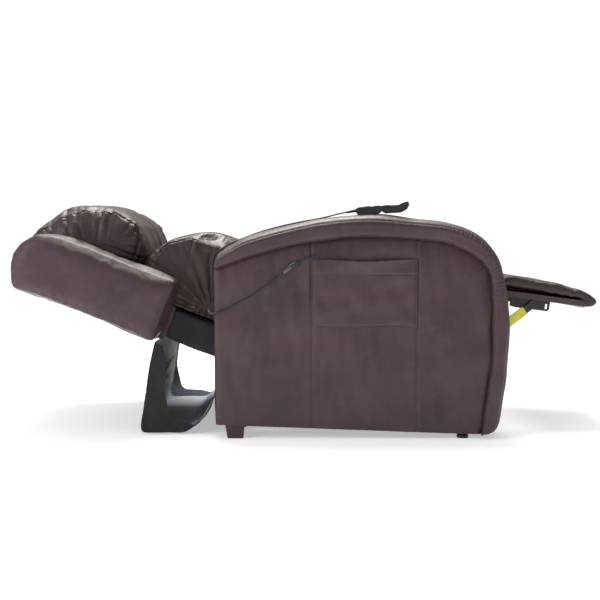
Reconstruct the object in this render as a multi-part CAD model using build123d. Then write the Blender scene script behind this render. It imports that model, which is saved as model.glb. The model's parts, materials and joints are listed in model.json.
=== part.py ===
from build123d import *
import math
import os

# Power lift recliner chair, stored lying back with its footrest out. Millimetres.
# +X is the way the sitter faces, +Y is the sitter's left, +Z is up, and Z 0 is the floor.
# The sizes below are laid out from a working origin on the floor; the last lines move
# every piece so that the origin is at the middle of the chair's own length.

# ---- driving sizes ---------------------------------------------------------------
overall_width = 850.0
arm_width = 155.0
arm_length = 867.0
arm_height = 653.0
arm_rear_x = -251.0
arm_rear_top = 515.0          # height at which the rear edge turns into the top curve
arm_rear_bottom = 41.0
arm_front_bottom = 11.0
roll_width = 62.0             # width of the padded roll along the top and front of an arm
panel_recess = 17.0           # how far the side panels lie inside the roll's face
panel_thickness = 20.0
inner_panel_recess = 4.0

seat_front_x = 505.0
seat_top = 490.0
seat_cushion_bottom = 300.0
deck_bottom = 268.0
deck_thickness = 16.0

recline_angle = 22.0          # rise of the back above the floor when lying back
recline_travel = 50.0
back_pivot = (-88.5, 304.0)   # X and Z of the back's hinge
back_length = 800.0           # hinge to the head end
wing_start = 318.0            # hinge to the lower end of the side wings
wing_front = 52.0
wing_rear = -160.0
wing_side_gap = 16.0          # lumbar and headrest cushions to the wings
wing_set_in = 25.0            # wings inside the arms' outer faces
lumbar_end = 442.0            # hinge to the crevice between lumbar and headrest cushions

footrest_pivot = (380.0, 235.0)
link_length = 190.0
inner_link_angle = 9.8
outer_link_angle = 37.4
inner_link_travel = 39.6
outer_link_travel = 87.6
ottoman_tilt = 7.5
ottoman_travel = 128.5

lift_pivot = (180.0, 95.0)
lift_end = (-200.0, 115.0)
lift_travel = 60.0
tilt_travel = 35.0

lift_lever = 85.0
recline_lever = 110.0
footrest_lever = 100.0
recline_actuator_y = -120.0
footrest_actuator_y = 120.0

steel = 8.0                   # thickness of the mechanism's plates
layer_gap = 2.0               # gap between plates that move past each other
rail_thickness = 12.0
side_gap = 6.0                # cushions to the arms' inner faces
running_clearance = 0.05      # radial clearance of a shaft in its hole
rod_clearance = 0.3
pin_radius = 6.0
slot_half_width = 7.4

tube_width = 30.0
tube_height = 40.0
tube_wall = 3.0
base_rear_x = -215.0
base_front_x = 440.0
base_set_in = 5.0             # base rails inside the back's lower board
glide_height = 20.0
glide_radius = 18.0

cord_diameter = 4.5
harness_diameter = 6.0

# ---- sizes that follow from them --------------------------------------------------
arm_outer_y = overall_width / 2
arm_inner_y = arm_outer_y - arm_width
arm_front_x = arm_rear_x + arm_length
panel_y = arm_outer_y - panel_recess
arm_crest_y = (arm_outer_y + arm_inner_y) / 2
rail_y = arm_inner_y - rail_thickness          # inner face of the seat's side rails
fixed_plate_y = rail_y - steel                 # plates bolted to the rails' inner faces
moving_plate_y = fixed_plate_y - layer_gap - steel
inner_width_y = moving_plate_y                 # torque tubes and the lower back reach this
outer_link_y = moving_plate_y - layer_gap - steel
ottoman_plate_y = outer_link_y - layer_gap - steel
base_plate_y = moving_plate_y - layer_gap - steel
cushion_y = arm_inner_y - side_gap
wing_inner = cushion_y + wing_side_gap
wing_outer = arm_outer_y - wing_set_in
base_half_width = inner_width_y - base_set_in


def polar(origin, length, degrees):
    """The point at a length and an angle above +X from origin, in X and Z."""
    a = math.radians(degrees)
    return (origin[0] + length * math.cos(a), origin[1] + length * math.sin(a))


def on_back(s, t):
    """X and Z of a point s along the reclined back from its hinge and t towards its front."""
    a = math.radians(recline_angle)
    return (
        back_pivot[0] - s * math.cos(a) + t * math.sin(a),
        back_pivot[1] + s * math.sin(a) + t * math.cos(a),
    )


footrest_elbow = polar(footrest_pivot, link_length, inner_link_angle)
ottoman_pivot = polar(footrest_elbow, link_length, outer_link_angle)


def on_ottoman(x, z):
    """X and Z of a point x forward of the ottoman's hinge and z above it, along its tilt."""
    a = math.radians(ottoman_tilt)
    return (
        ottoman_pivot[0] + x * math.cos(a) + z * math.sin(a),
        ottoman_pivot[1] - x * math.sin(a) + z * math.cos(a),
    )


def arm_bottom(x):
    """Height of an arm's lower edge, which rises a little to the rear."""
    share = (x - arm_rear_x) / arm_length
    return arm_rear_bottom + share * (arm_front_bottom - arm_rear_bottom)


# ---- plain shapes -----------------------------------------------------------------
def across(sketch, y_low, y_high):
    """A sketch drawn in X and Z, made solid from y_low to y_high."""
    return extrude(Plane.XZ.offset(-y_high) * sketch, y_high - y_low, dir=(0, -1, 0))


def plate(points, y_low, y_high, radius=0.0):
    """A plate with a straight-sided outline in X and Z and corners of one radius."""
    outline = make_face(Polyline(*points, close=True))
    if radius:
        outline = fillet(outline.vertices(), radius)
    return across(outline, y_low, y_high)


def bar(centre, radius, y_low, y_high):
    """A round bar along Y."""
    return across(Pos(*centre) * Circle(radius), y_low, y_high)


def block(x_low, x_high, y_low, y_high, z_low, z_high):
    """A rectangular block between two corners."""
    size = (x_high - x_low, y_high - y_low, z_high - z_low)
    middle = ((x_low + x_high) / 2, (y_low + y_high) / 2, (z_low + z_high) / 2)
    return Pos(*middle) * Box(*size)


def rod_x(x_low, x_high, y, z, radius):
    """A round bar along X."""
    return extrude(Plane.YZ.offset(x_low) * Pos(y, z) * Circle(radius), x_high - x_low)


def link(start, end, half_width, y_low, y_high):
    """A flat link with rounded ends between two points in X and Z."""
    length = math.dist(start, end)
    angle = math.degrees(math.atan2(end[1] - start[1], end[0] - start[0]))
    middle = ((start[0] + end[0]) / 2, (start[1] + end[1]) / 2)
    shape = SlotCenterToCenter(length, 2 * half_width, rotation=angle)
    return across(Pos(*middle) * shape, y_low, y_high)


def group(*shapes):
    """Several separate solids kept together as one node."""
    return Compound(children=[solid for shape in shapes for solid in shape.solids()])


def both_sides(shape):
    """A left-hand piece and its mirror image on the right."""
    return group(shape, mirror(shape, about=Plane.XZ))


# ---- base: the frame on the floor ---------------------------------------------------
def base_side_rails():
    """Two steel tubes that run front to back."""
    low = base_half_width - tube_width
    outside = block(base_rear_x, base_front_x, low, base_half_width,
                    glide_height, glide_height + tube_height)
    inside = block(base_rear_x, base_front_x, low + tube_wall, base_half_width - tube_wall,
                   glide_height + tube_wall, glide_height + tube_height - tube_wall)
    return both_sides(outside - inside)


def base_cross_tubes():
    """Front and rear tubes welded between the side rails."""
    reach = base_half_width - tube_width
    tubes = []
    for x in (base_rear_x, base_front_x - tube_width):
        outside = block(x, x + tube_width, -reach, reach, glide_height, glide_height + tube_height)
        inside = block(x + tube_wall, x + tube_width - tube_wall, -reach, reach,
                       glide_height + tube_wall, glide_height + tube_height - tube_wall)
        tubes.append(outside - inside)
    return group(*tubes)


def base_lift_brackets():
    """Upright plates on the side rails that carry the lift torque tube."""
    top = glide_height + tube_height
    x, z = lift_pivot
    outline = [(x - 55, top), (x + 55, top), (x + 22, z + 12), (x + 12, z + 24),
               (x - 12, z + 24), (x - 22, z + 12)]
    body = plate(outline, base_plate_y, base_plate_y + steel, 4)
    return both_sides(body - bar(lift_pivot, 15 + running_clearance, 0, overall_width))


def base_glides():
    """Four round plastic glides under the corners of the base."""
    solids = []
    for x in (base_rear_x + tube_width, base_front_x - tube_width):
        for y in (-1, 1):
            centre = y * (base_half_width - tube_width / 2)
            foot = Pos(x, centre, 0) * extrude(Circle(glide_radius), glide_height)
            solids.append(fillet(foot.edges().group_by(Axis.Z)[-1], 4))
    return group(*solids)


# ---- actuators ------------------------------------------------------------------------
actuator_tube_radius = 20.0
actuator_bore = 12.0
motor_radius = 21.0
motor_offset = 45.0           # guide tube's axis to the motor's
gearbox_length = 80.0
gearbox_half_width = 27.0
tab_length = 24.0
fork_half_width = 16.0
fork_depth = 26.0             # pin to the bridge that joins the fork's cheeks
fork_bridge = 8.0
lever_half = steel / 2


def actuator_body(x, y, z, heading, tube_length, motor_length, motor_rise):
    """Guide tube, gearbox and motor. x is the tube's open end, heading is +1 or -1 along X."""
    start = x - heading * tube_length
    back = start - heading * gearbox_length
    low, high = sorted((x, start))
    tube = rod_x(low, high, y, z, actuator_tube_radius)
    tube -= rod_x(low - 1, high + 1, y, z, actuator_bore + rod_clearance)
    low, high = sorted((start, back))
    bottom, top = sorted((motor_rise + math.copysign(motor_radius, motor_rise),
                          -math.copysign(actuator_tube_radius + 2, motor_rise)))
    case = block(low, high, y - gearbox_half_width, y + gearbox_half_width, z + bottom, z + top)
    case = fillet(case.edges().filter_by(Axis.X), 8)
    low, high = sorted((back, back - heading * tab_length))
    tab = block(low, high, y - 7, y + 7, z - 12, z + 12)
    hole = bar((back - heading * tab_length / 2, z), pin_radius + running_clearance, y - 9, y + 9)
    low, high = sorted((start, start + heading * motor_length))
    can = rod_x(low, high, y, z + motor_rise, motor_radius)
    can = fillet(can.edges().group_by(Axis.X)[-1 if heading > 0 else 0], 4)
    return group(tube + case + (tab - hole), can)


def actuator_rod(pin_x, y, z, heading, length):
    """The push rod with a forked end and its cross pin. pin_x is where the pin is."""
    neck = pin_x - heading * (fork_depth + fork_bridge)
    low, high = sorted((neck, neck - heading * length))
    rod = rod_x(low, high, y, z, actuator_bore)
    low, high = sorted((neck, neck + heading * fork_bridge))
    bridge = block(low, high, y - fork_half_width, y + fork_half_width, z - 12, z + 12)
    low, high = sorted((neck + heading * fork_bridge, pin_x + heading * 10))
    cheeks = [block(low, high, y + side * 12 - 4, y + side * 12 + 4, z - 12, z + 12)
              for side in (-1, 1)]
    pin = bar((pin_x, z), 5, y - fork_half_width, y + fork_half_width)
    return rod + bridge + cheeks[0] + cheeks[1] + pin


def slotted_lever(pivot, radius, angle, half_travel, y, bore):
    """A lever whose slot lets a rod that moves in a straight line drive its turning end."""
    near = radius * math.cos(math.radians(half_travel))
    tip = polar(pivot, radius, angle)
    body = link(pivot, tip, bore + 1, y - lever_half, y + lever_half)
    slot = link(polar(pivot, near, angle), tip, slot_half_width, y - 10, y + 10)
    return body - slot - bar(pivot, bore, y - 10, y + 10)


lift_half = lift_travel / 2
lift_rod_z = lift_pivot[1] + lift_lever * math.cos(math.radians(lift_half))
lift_rod_x = lift_pivot[0] - lift_lever * math.sin(math.radians(lift_half))
lift_stroke = 2 * lift_lever * math.sin(math.radians(lift_half))
recline_half = recline_travel / 2
recline_rod_z = back_pivot[1] - recline_lever * math.cos(math.radians(recline_half))
recline_rod_x = back_pivot[0] + recline_lever * math.sin(math.radians(recline_half))
recline_stroke = 2 * recline_lever * math.sin(math.radians(recline_half))
footrest_half = inner_link_travel / 2
footrest_rod_z = footrest_pivot[1] - footrest_lever * math.cos(math.radians(footrest_half))
footrest_rod_x = footrest_pivot[0] + footrest_lever * math.sin(math.radians(footrest_half))
footrest_stroke = 2 * footrest_lever * math.sin(math.radians(footrest_half))

rod_guide = 40.0              # length of rod that stays inside the tube when fully out
mouth = fork_depth + fork_bridge + 3   # pin to the tube's open end when the rod is fully in
lift_mouth_x = lift_rod_x - mouth
lift_tube_length = lift_stroke + rod_guide + 10
recline_mouth_x = recline_rod_x + mouth
recline_tube_length = recline_stroke + rod_guide + 10
footrest_mouth_x = footrest_rod_x - footrest_stroke - mouth
footrest_tube_length = footrest_stroke + rod_guide + 10


def tab_centre(mouth_x, heading, tube_length):
    """X of the hole in an actuator's rear tab."""
    return mouth_x - heading * (tube_length + gearbox_length + tab_length / 2)


def lift_actuator_bracket():
    """Two cheeks on the base's rear tube, with the pin that holds the lift actuator."""
    x = tab_centre(lift_mouth_x, 1, lift_tube_length)
    top = glide_height + tube_height
    outline = [(base_rear_x, top), (base_rear_x + tube_width, top), (x + 10, lift_rod_z - 6),
               (x + 10, lift_rod_z + 11), (x - 10, lift_rod_z + 11), (x - 10, lift_rod_z - 6)]
    cheek = plate(outline, 8, 13)
    pin = bar((x, lift_rod_z), pin_radius, -13, 13)
    return group(cheek + mirror(cheek, about=Plane.XZ) + pin)


hanger_half_width = 11.0
hanger_thickness = 5.0
hanger_reach = 13.0           # middle of the tab to a cheek's outer face


def hanger(x, y, z):
    """A fork that hangs an actuator's rear tab from the seat deck."""
    half = hanger_half_width
    cheeks = [block(x - half, x + half, y + low, y + low + hanger_thickness, z - half, deck_bottom)
              for low in (-hanger_reach, hanger_reach - hanger_thickness)]
    pin = bar((x, z), pin_radius, y - hanger_reach, y + hanger_reach)
    return group(cheeks[0] + cheeks[1] + pin)


# ---- lift links ---------------------------------------------------------------------------
def lift_links():
    """The pair of arms that swing the chair up from the base."""
    arm = link(lift_pivot, lift_end, 18, moving_plate_y, moving_plate_y + steel)
    hole = bar(lift_end, 8 + running_clearance, 0, overall_width)
    return both_sides(arm - hole - bar(lift_pivot, 15, 0, overall_width))


def lift_torque_tube():
    """The tube that joins the lift arms, with the lever that the lift actuator pushes."""
    reach = moving_plate_y + steel
    lever = slotted_lever(lift_pivot, lift_lever, 90 + lift_half, lift_half, 0, 15)
    return lever + bar(lift_pivot, 15, -reach, reach) - bar(lift_pivot, 11, -reach, reach)


# ---- chassis: seat frame, arms and what is fixed to them --------------------------------------
rail_bottom = 180.0
rail_top = deck_bottom
rail_rear_x = -215.0
rail_front_x = 480.0
rear_rail_z = 100.0


def seat_side_rails():
    """The boards along the seat's sides that the arms bolt to."""
    return both_sides(block(rail_rear_x, rail_front_x, rail_y, arm_inner_y, rail_bottom, rail_top))


def seat_cross_rails():
    """Front rail under the seat's edge and rear rail low at the back."""
    reach = moving_plate_y - layer_gap
    front = block(rail_front_x - 30, rail_front_x, -reach, reach, rail_top - 45, rail_top)
    rear = block(-240, -222, -fixed_plate_y, fixed_plate_y, rear_rail_z, rear_rail_z + 50)
    return group(front, rear)


def lift_side_plates():
    """Plates that reach down from the side rails, with the pins on which the chair tilts."""
    x, z = lift_end
    outline = [(x - 40, rear_rail_z - 5), (x + 24, rear_rail_z - 5), (x + 50, rail_bottom),
               (x + 60, rail_top), (rail_rear_x, rail_top), (rail_rear_x, rail_bottom),
               (x - 40, rear_rail_z + 55)]
    body = plate(outline, fixed_plate_y, rail_y)
    return both_sides(body + bar(lift_end, 8, moving_plate_y - 4, fixed_plate_y))


hinge_pin_radius = 8.0
hinge_pin_length = 46.0


def back_hinge_brackets():
    """Plates on the side rails, with the pins that run into the back's torque tube."""
    x, z = back_pivot
    outline = [(x - 40, rail_bottom + 20), (x + 45, rail_bottom + 20), (x + 45, rail_top),
               (x + 22, z + 8), (x + 10, z + 22), (x - 10, z + 22), (x - 22, z + 8),
               (x - 40, rail_top)]
    pin = bar(back_pivot, hinge_pin_radius, fixed_plate_y - hinge_pin_length, fixed_plate_y)
    return both_sides(plate(outline, fixed_plate_y, rail_y) + pin)


def footrest_brackets():
    """Plates on the side rails with the pins that carry the footrest's torque tube."""
    x, z = footrest_pivot
    outline = [(x - 45, rail_top), (x - 45, z), (x - 18, z - 24), (x + 18, z - 24),
               (x + 45, z), (x + 45, rail_top)]
    body = plate(outline, fixed_plate_y, rail_y)
    pin = bar(footrest_pivot, 7, fixed_plate_y - 34, fixed_plate_y)
    return both_sides(body + pin)


deck_rear_x = -40.0


def seat_deck():
    """The board that carries the seat cushion."""
    return block(deck_rear_x, rail_front_x, -arm_inner_y, arm_inner_y, deck_bottom,
                 deck_bottom + deck_thickness)


def hanger_positions():
    """X of the footrest and recline actuators' rear tabs, which hang from the deck."""
    return (tab_centre(footrest_mouth_x, 1, footrest_tube_length),
            tab_centre(recline_mouth_x, -1, recline_tube_length))


def seat_cushion():
    """The seat cushion, cut back at the rear so that the raised back clears it."""
    outline = [(118, seat_cushion_bottom), (84, seat_top - 30), (90, seat_top),
               (seat_front_x - 35, seat_top), (seat_front_x, seat_top - 30),
               (seat_front_x, seat_cushion_bottom)]
    return plate(outline, -cushion_y, cushion_y, 12)


def chaise_bridge():
    """The short pad that fills the space between the seat and the footrest."""
    outline = [(seat_front_x + 2, seat_top - 46), (seat_front_x + 2, seat_top - 6),
               (seat_front_x + 60, seat_top - 8), (seat_front_x + 60, seat_top - 46)]
    return plate(outline, -cushion_y + 8, cushion_y - 8, 8)


inlet_radius = 2.8
inlet_depth = 10.0
inlet_set_back = 12.0         # from the control box's rear face
inlet_y = 50.0
control_box_gap = 30.0        # control box to the centres of the tabs behind and before it
control_box_height = 44.0
control_box_half_width = 66.0


def control_box():
    """The housing of the electronics under the deck, with its supply inlet underneath."""
    rear, front = hanger_positions()
    rear, front = rear + control_box_gap, front - control_box_gap
    bottom = deck_bottom - control_box_height
    case = block(rear, front, -control_box_half_width, control_box_half_width, bottom, deck_bottom)
    case = fillet(case.edges().filter_by(Axis.Z), 6)
    inlet = Pos(rear + inlet_set_back, inlet_y, bottom) * extrude(Circle(inlet_radius), inlet_depth)
    return case - inlet


# ---- arms ---------------------------------------------------------------------------------------
def arm_outline():
    """The arm's whole side view."""
    rear, front, top = arm_rear_x, arm_front_x, arm_height
    crown = Spline((rear, arm_rear_top), (rear + 10, top - 114), (rear + 46, top - 88),
                   (rear + 101, top - 60), (rear + 245, top - 21), (rear + 407, top),
                   (front - 249, top - 12), (front - 171, top - 25), (front - 112, top - 45),
                   (front - 68, top - 75), (front - 32, top - 130), (front - 14, top - 196),
                   (front - 1, top - 290), (front, top - 376), (front - 9, 156))
    outline = make_face([
        Line((rear + 5, arm_bottom(rear + 5)), (rear, arm_rear_top)),
        crown,
        Polyline((front - 9, 156), (front - 30, arm_bottom(front - 30)),
                 (rear + 5, arm_bottom(rear + 5))),
    ])
    corner = outline.vertices().sort_by(lambda v: v.Y - 2 * v.X)[0]
    return fillet(corner, 38)


def inside_roll():
    """The region inside the roll, carried on past the arm's rear and lower edges."""
    rear, top = arm_rear_x, arm_height - roll_width
    edge = arm_front_x - 53
    crown = Spline((rear - 30, top - 102), (rear + 6, top - 92), (rear + 106, top - 56),
                   (rear + 215, top - 28), (rear + 316, top - 10), (rear + 437, top),
                   (edge - 166, top - 13), (edge - 100, top - 31), (edge - 57, top - 53),
                   (edge - 27, top - 80), (edge - 9, top - 122), (edge - 3, top - 194),
                   (edge, top - 315), (edge - 6, 186), (edge - 21, 84), (edge - 38, -20))
    under = Polyline((edge - 38, -20), (rear - 30, -20), (rear - 30, top - 102))
    return make_face([crown, under])


def arm_panel_outline():
    """The side view of the flat panels inside the roll."""
    return arm_outline() & inside_roll()


def arm_roll():
    """The padded roll that runs over the arm's top and down its front."""
    return across(arm_outline() - inside_roll(), arm_inner_y, arm_outer_y)


def arm_outer_panel():
    """The padded outer side panel."""
    return across(arm_panel_outline(), panel_y - panel_thickness, panel_y)


def arm_inner_panel():
    """The padded panel beside the seat."""
    low = arm_inner_y + inner_panel_recess
    return across(arm_panel_outline(), low, low + 16)


frame_board = 40.0


def arm_frame():
    """The wooden frame between the two side panels."""
    low = arm_inner_y + inner_panel_recess + 16
    high = panel_y - panel_thickness
    rear, front = arm_rear_x + 12, arm_front_x - roll_width - 40
    outside = [(rear, arm_bottom(rear) + 4), (rear, arm_rear_top - 60), (rear + 200, arm_height - 130),
               (front - 120, arm_height - 130), (front, arm_height - 240), (front, 45)]
    inside = [(rear + frame_board, 90), (rear + frame_board, arm_rear_top - 95),
              (rear + 210, arm_height - 170), (front - 135, arm_height - 170),
              (front - frame_board, arm_height - 262), (front - frame_board, 90)]
    return plate(outside, low, high) - plate(inside, low, high)


foot_width = 55.0


def block_foot():
    """The tapered block foot under the rear of an arm."""
    rear = arm_rear_x + 31
    front = rear + foot_width
    outline = [(rear, arm_bottom(rear)), (front, arm_bottom(front)), (front - 3, 0), (rear + 7, 0)]
    return plate(outline, panel_y - 58, panel_y - 4)


arm_glide_radius = 17.0
arm_glide_stem = 8.0
arm_glide_thickness = 8.0
arm_glide_set_in = 23.0       # from the side panel's face
arm_glide_set_back = 135.0    # from the arm's front


def arm_glide():
    """The black glide under the front of an arm."""
    x, y = arm_front_x - arm_glide_set_back, panel_y - arm_glide_set_in
    top = arm_bottom(x + arm_glide_stem)
    pad = Pos(x, y, 0) * extrude(Circle(arm_glide_radius), arm_glide_thickness)
    stem = extrude(Circle(arm_glide_stem), top - arm_glide_thickness)
    return pad + Pos(x, y, arm_glide_thickness) * stem


pocket_low = 327.0
pocket_high = 524.0
pocket_rear = 36.0
pocket_front = 346.0
pocket_depth = 12.0
pocket_skin = 4.0


def side_pocket():
    """The magazine pocket on the outer panel, open at the top."""
    outside = block(pocket_rear, pocket_front, -panel_y - pocket_depth, -panel_y,
                    pocket_low, pocket_high)
    inside = block(pocket_rear + pocket_skin, pocket_front - pocket_skin,
                   -panel_y - pocket_depth + pocket_skin, -panel_y,
                   pocket_low + pocket_skin, pocket_high)
    return outside - inside


# ---- back --------------------------------------------------------------------------------------
lower_board_start = 60.0
lower_board_end = 303.0
lower_board_rear = -144.0
lower_board_front = -50.0


def back_plate(points, y_low, y_high, radius=0.0):
    """A plate whose outline is given along the reclined back."""
    return plate([on_back(s, t) for s, t in points], y_low, y_high, radius)


def lower_back_board():
    """The covered board behind the lumbar cushion, between the arms."""
    points = [(lower_board_start, lower_board_rear), (lower_board_end, lower_board_rear),
              (lower_board_end, lower_board_front), (lower_board_start, lower_board_front)]
    return back_plate(points, -inner_width_y, inner_width_y, 20)


def back_torque_tube():
    """The tube that the back turns on, with the lever that the recline actuator pushes."""
    reach = inner_width_y + steel
    bore = hinge_pin_radius + running_clearance
    lever = slotted_lever(back_pivot, recline_lever, recline_half - 90, recline_half,
                          recline_actuator_y, 14)
    return lever + bar(back_pivot, 14, -reach, reach) - bar(back_pivot, bore, -reach, reach)


def back_hinge_plates():
    """Plates that carry the lower back board on the torque tube."""
    points = [(-10, 22), (12, 20), (58, -56), (150, -62), (150, -120), (58, -120),
              (-20, -14), (-20, 12)]
    body = back_plate(points, inner_width_y, inner_width_y + steel)
    return both_sides(body - bar(back_pivot, 14, 0, overall_width))


def back_frame():
    """The ladder frame inside the upper back."""
    reach = wing_inner - 10
    ring = back_plate([(lower_board_end + 1, -146), (back_length - 30, -146),
                       (back_length - 30, -106), (lower_board_end + 1, -106)], -reach, reach)
    for low, high in ((lower_board_end + 41, 520), (560, back_length - 70)):
        ring -= back_plate([(low, -150), (high, -150), (high, -100), (low, -100)],
                           40 - reach, reach - 40)
    return ring


def back_rear_panel():
    """The upholstered panel on the rear of the upper back."""
    points = [(wing_start, wing_rear), (back_length - 20, wing_rear - 4),
              (back_length - 20, -148), (wing_start, -148)]
    return back_plate(points, -wing_inner + 2, wing_inner - 2)


def back_wing():
    """A padded side wing of the upper back, which stands over the arm when upright."""
    edge = make_face([
        Polyline(on_back(wing_start, wing_front - 8), on_back(wing_start + 3, wing_rear + 6),
                 on_back(wing_start + 14, wing_rear), on_back(back_length - 42, wing_rear - 4),
                 on_back(back_length - 28, wing_rear + 14)),
        Spline(on_back(back_length - 28, wing_rear + 14), on_back(back_length - 6, -99),
               on_back(back_length, -60), on_back(back_length - 14, -14),
               on_back(back_length - 50, 30), on_back(back_length - 120, 50),
               on_back(lumbar_end + 60, wing_front + 4), on_back(wing_start + 10, wing_front)),
        Line(on_back(wing_start + 10, wing_front), on_back(wing_start, wing_front - 8)),
    ])
    return across(edge, wing_inner, wing_outer)


def headrest_cushion():
    """The thick pillow at the head end, which wraps over the top of the back."""
    s0, s1 = lumbar_end + 5, back_length + 4
    edge = make_face([
        Polyline(on_back(s1, -60), on_back(s1 - 6, -104), on_back(s0, -104), on_back(s0, 70)),
        Spline(on_back(s0, 70), on_back(s0 + 4, 122), on_back(s0 + 44, 170),
               on_back(s0 + 125, 186), on_back(s0 + 230, 154), on_back(s1 - 60, 98),
               on_back(s1 - 14, 32), on_back(s1, -60)),
    ])
    return across(edge, -wing_inner + 4, wing_inner - 4)


def lumbar_cushion():
    """The pillow behind the sitter's waist, with a nose that tucks down to the seat."""
    edge = make_face([
        Polyline(on_back(lumbar_end, 70), on_back(lumbar_end, -48), on_back(70, -48),
                 on_back(32, 30), on_back(2, 62), on_back(2, 140)),
        Spline(on_back(2, 140), on_back(24, 186), on_back(110, 206), on_back(250, 207),
               on_back(350, 194), on_back(lumbar_end - 22, 142), on_back(lumbar_end, 70)),
    ])
    return across(edge, -cushion_y, cushion_y)


# ---- rear skirt --------------------------------------------------------------------------------
skirt_half_width = arm_outer_y - 80.0
skirt_cloth = 3.0


def rear_skirt():
    """The cloth that hangs from the back's lower end to the rear rail, with side gussets."""
    outer = [(-434, 279), (-452, 200), (-468, 100), (-480, 18), (-474, 7), (-460, 4), (-350, 4),
             (-300, 38), (-268, 86), (arm_rear_x - 2, 112)]
    top, foot = outer[0], outer[-1]
    inner = [(top[0] + skirt_cloth, top[1])]
    inner += [(-452 + skirt_cloth, 200), (-468 + skirt_cloth, 100), (-480 + skirt_cloth, 20),
              (-472, 10), (-460, 7), (-351, 7), (-302, 41), (-270, 89)]
    inner += [(foot[0], foot[1] + 4)]
    sheet = plate(outer + inner[::-1], -skirt_half_width, skirt_half_width)
    gusset = plate(outer[:9] + [(-290, 62), (-318, 30), (-372, 47), (-394, 60), (-397, 95),
                                (-407, 141), (-400, 216), (-410, 262)],
                   skirt_half_width - skirt_cloth, skirt_half_width)
    return sheet + gusset + mirror(gusset, about=Plane.XZ)


# ---- footrest ------------------------------------------------------------------------------------
link_half = 11.0
end_half = 13.0


def footrest_inner_links():
    """The links hinged on the seat frame, with their elbow pins."""
    body = link(footrest_pivot, footrest_elbow, end_half, moving_plate_y, moving_plate_y + steel)
    pin = bar(footrest_elbow, pin_radius, outer_link_y - 2, moving_plate_y)
    return both_sides(body - bar(footrest_pivot, 12, 0, overall_width) + pin)


def footrest_torque_tube():
    """The tube that turns both inner links, with the lever that the actuator pulls."""
    reach = moving_plate_y + steel
    bore = 7 + running_clearance
    lever = slotted_lever(footrest_pivot, footrest_lever, footrest_half - 90, footrest_half,
                          footrest_actuator_y, 12)
    return lever + bar(footrest_pivot, 12, -reach, reach) - bar(footrest_pivot, bore, -reach, reach)


def footrest_outer_links():
    """The links between the elbows and the ottoman."""
    hole = pin_radius + running_clearance
    ends = bar(footrest_elbow, end_half, outer_link_y, outer_link_y + steel)
    ends += bar(ottoman_pivot, end_half, outer_link_y, outer_link_y + steel)
    body = link(footrest_elbow, ottoman_pivot, link_half, outer_link_y, outer_link_y + steel) + ends
    for centre in (footrest_elbow, ottoman_pivot):
        body -= bar(centre, hole, 0, overall_width)
    return both_sides(body)


def pinch_guards():
    """Bright sleeves round the outer links."""
    start = polar(footrest_elbow, 62, outer_link_angle)
    end = polar(footrest_elbow, 162, outer_link_angle)
    a = math.radians(outer_link_angle)
    across_link = (-math.sin(a), math.cos(a))

    def outline(half):
        return [(p[0] + side * half * across_link[0], p[1] + side * half * across_link[1])
                for p, side in ((start, -1), (end, -1), (end, 1), (start, 1))]

    low, high = outer_link_y, outer_link_y + steel
    sleeve = plate(outline(link_half + 2), low - 1.2, high + 1.2)
    return both_sides(sleeve - plate(outline(link_half), low, high))


board_low = 16.0
board_high = 34.0
ottoman_rear = -108.0
ottoman_front = 158.0
ottoman_half_width = arm_inner_y - 20.0


def ottoman_plate(points, y_low, y_high, radius=0.0):
    """A plate whose outline is given along the ottoman."""
    return plate([on_ottoman(x, z) for x, z in points], y_low, y_high, radius)


def ottoman_brackets():
    """The rails under the ottoman board, each with a hinge pin and a front slot."""
    points = [(-66, board_low), (-66, -12), (-52, -14), (50, -14), (56, -8), (56, board_low)]
    body = ottoman_plate(points, ottoman_plate_y, ottoman_plate_y + steel)
    slot = [(42, -8), (50, -8), (50, 8), (42, 8)]
    body -= ottoman_plate(slot, ottoman_plate_y, ottoman_plate_y + steel)
    pin = bar(ottoman_pivot, pin_radius, ottoman_plate_y + steel, outer_link_y + steel + 1)
    return both_sides(body + pin)


def ottoman_board():
    """The covered board under the footrest pad."""
    points = [(ottoman_rear, board_low), (ottoman_rear, board_high), (ottoman_front, board_high),
              (ottoman_front, board_low)]
    return ottoman_plate(points, -ottoman_half_width, ottoman_half_width, 6)


def ottoman_pad():
    """The footrest pad, which turns down over the board's front edge."""
    tip = ottoman_front + 46
    edge = make_face([
        Polyline(on_ottoman(ottoman_front + 3, 6), on_ottoman(ottoman_front + 3, board_high + 3),
                 on_ottoman(ottoman_rear, board_high + 9), on_ottoman(ottoman_rear, 80)),
        Spline(on_ottoman(ottoman_rear, 80), on_ottoman(-24, 83), on_ottoman(60, 79),
               on_ottoman(ottoman_front - 14, 66), on_ottoman(tip - 24, 56),
               on_ottoman(tip, 30), on_ottoman(tip - 14, 8), on_ottoman(ottoman_front + 3, 6)),
    ])
    return across(edge, -ottoman_half_width - 6, ottoman_half_width + 6)


# ---- handset on the right arm ---------------------------------------------------------------------
handset_x = 165.0
handset_z = 656.5
handset_tilt = 3.4
handset_width = 52.0
handset_parting = 11.0
handset_top = 22.0
button_travel = 1.0
button_gap = 0.4
handset_place = Pos(handset_x, -arm_crest_y, handset_z) * Rot(0, -handset_tilt, 0)


def handset_shape():
    """The whole handset, lying along X with its lower face near Z 0."""
    outline = [(0, 14), (8, 0), (68, 0), (78, 8), (90, 0), (134, 0), (150, 8), (157, 20),
               (155, 30), (147, 30), (126, handset_top), (10, handset_top), (2, 19)]
    half = handset_width / 2
    return plate(outline, -half, half, 0.8)


def button_places():
    """Two columns of three buttons."""
    return [(x, y) for x in (36, 64, 92) for y in (-11, 11)]


def button_shape(x, y, grow, low, high):
    """A rounded rectangular key or, when grown, the opening for it."""
    outline = RectangleRounded(18 + 2 * grow, 14 + 2 * grow, 4)
    return Pos(x, y, low) * extrude(outline, high - low)


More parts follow.
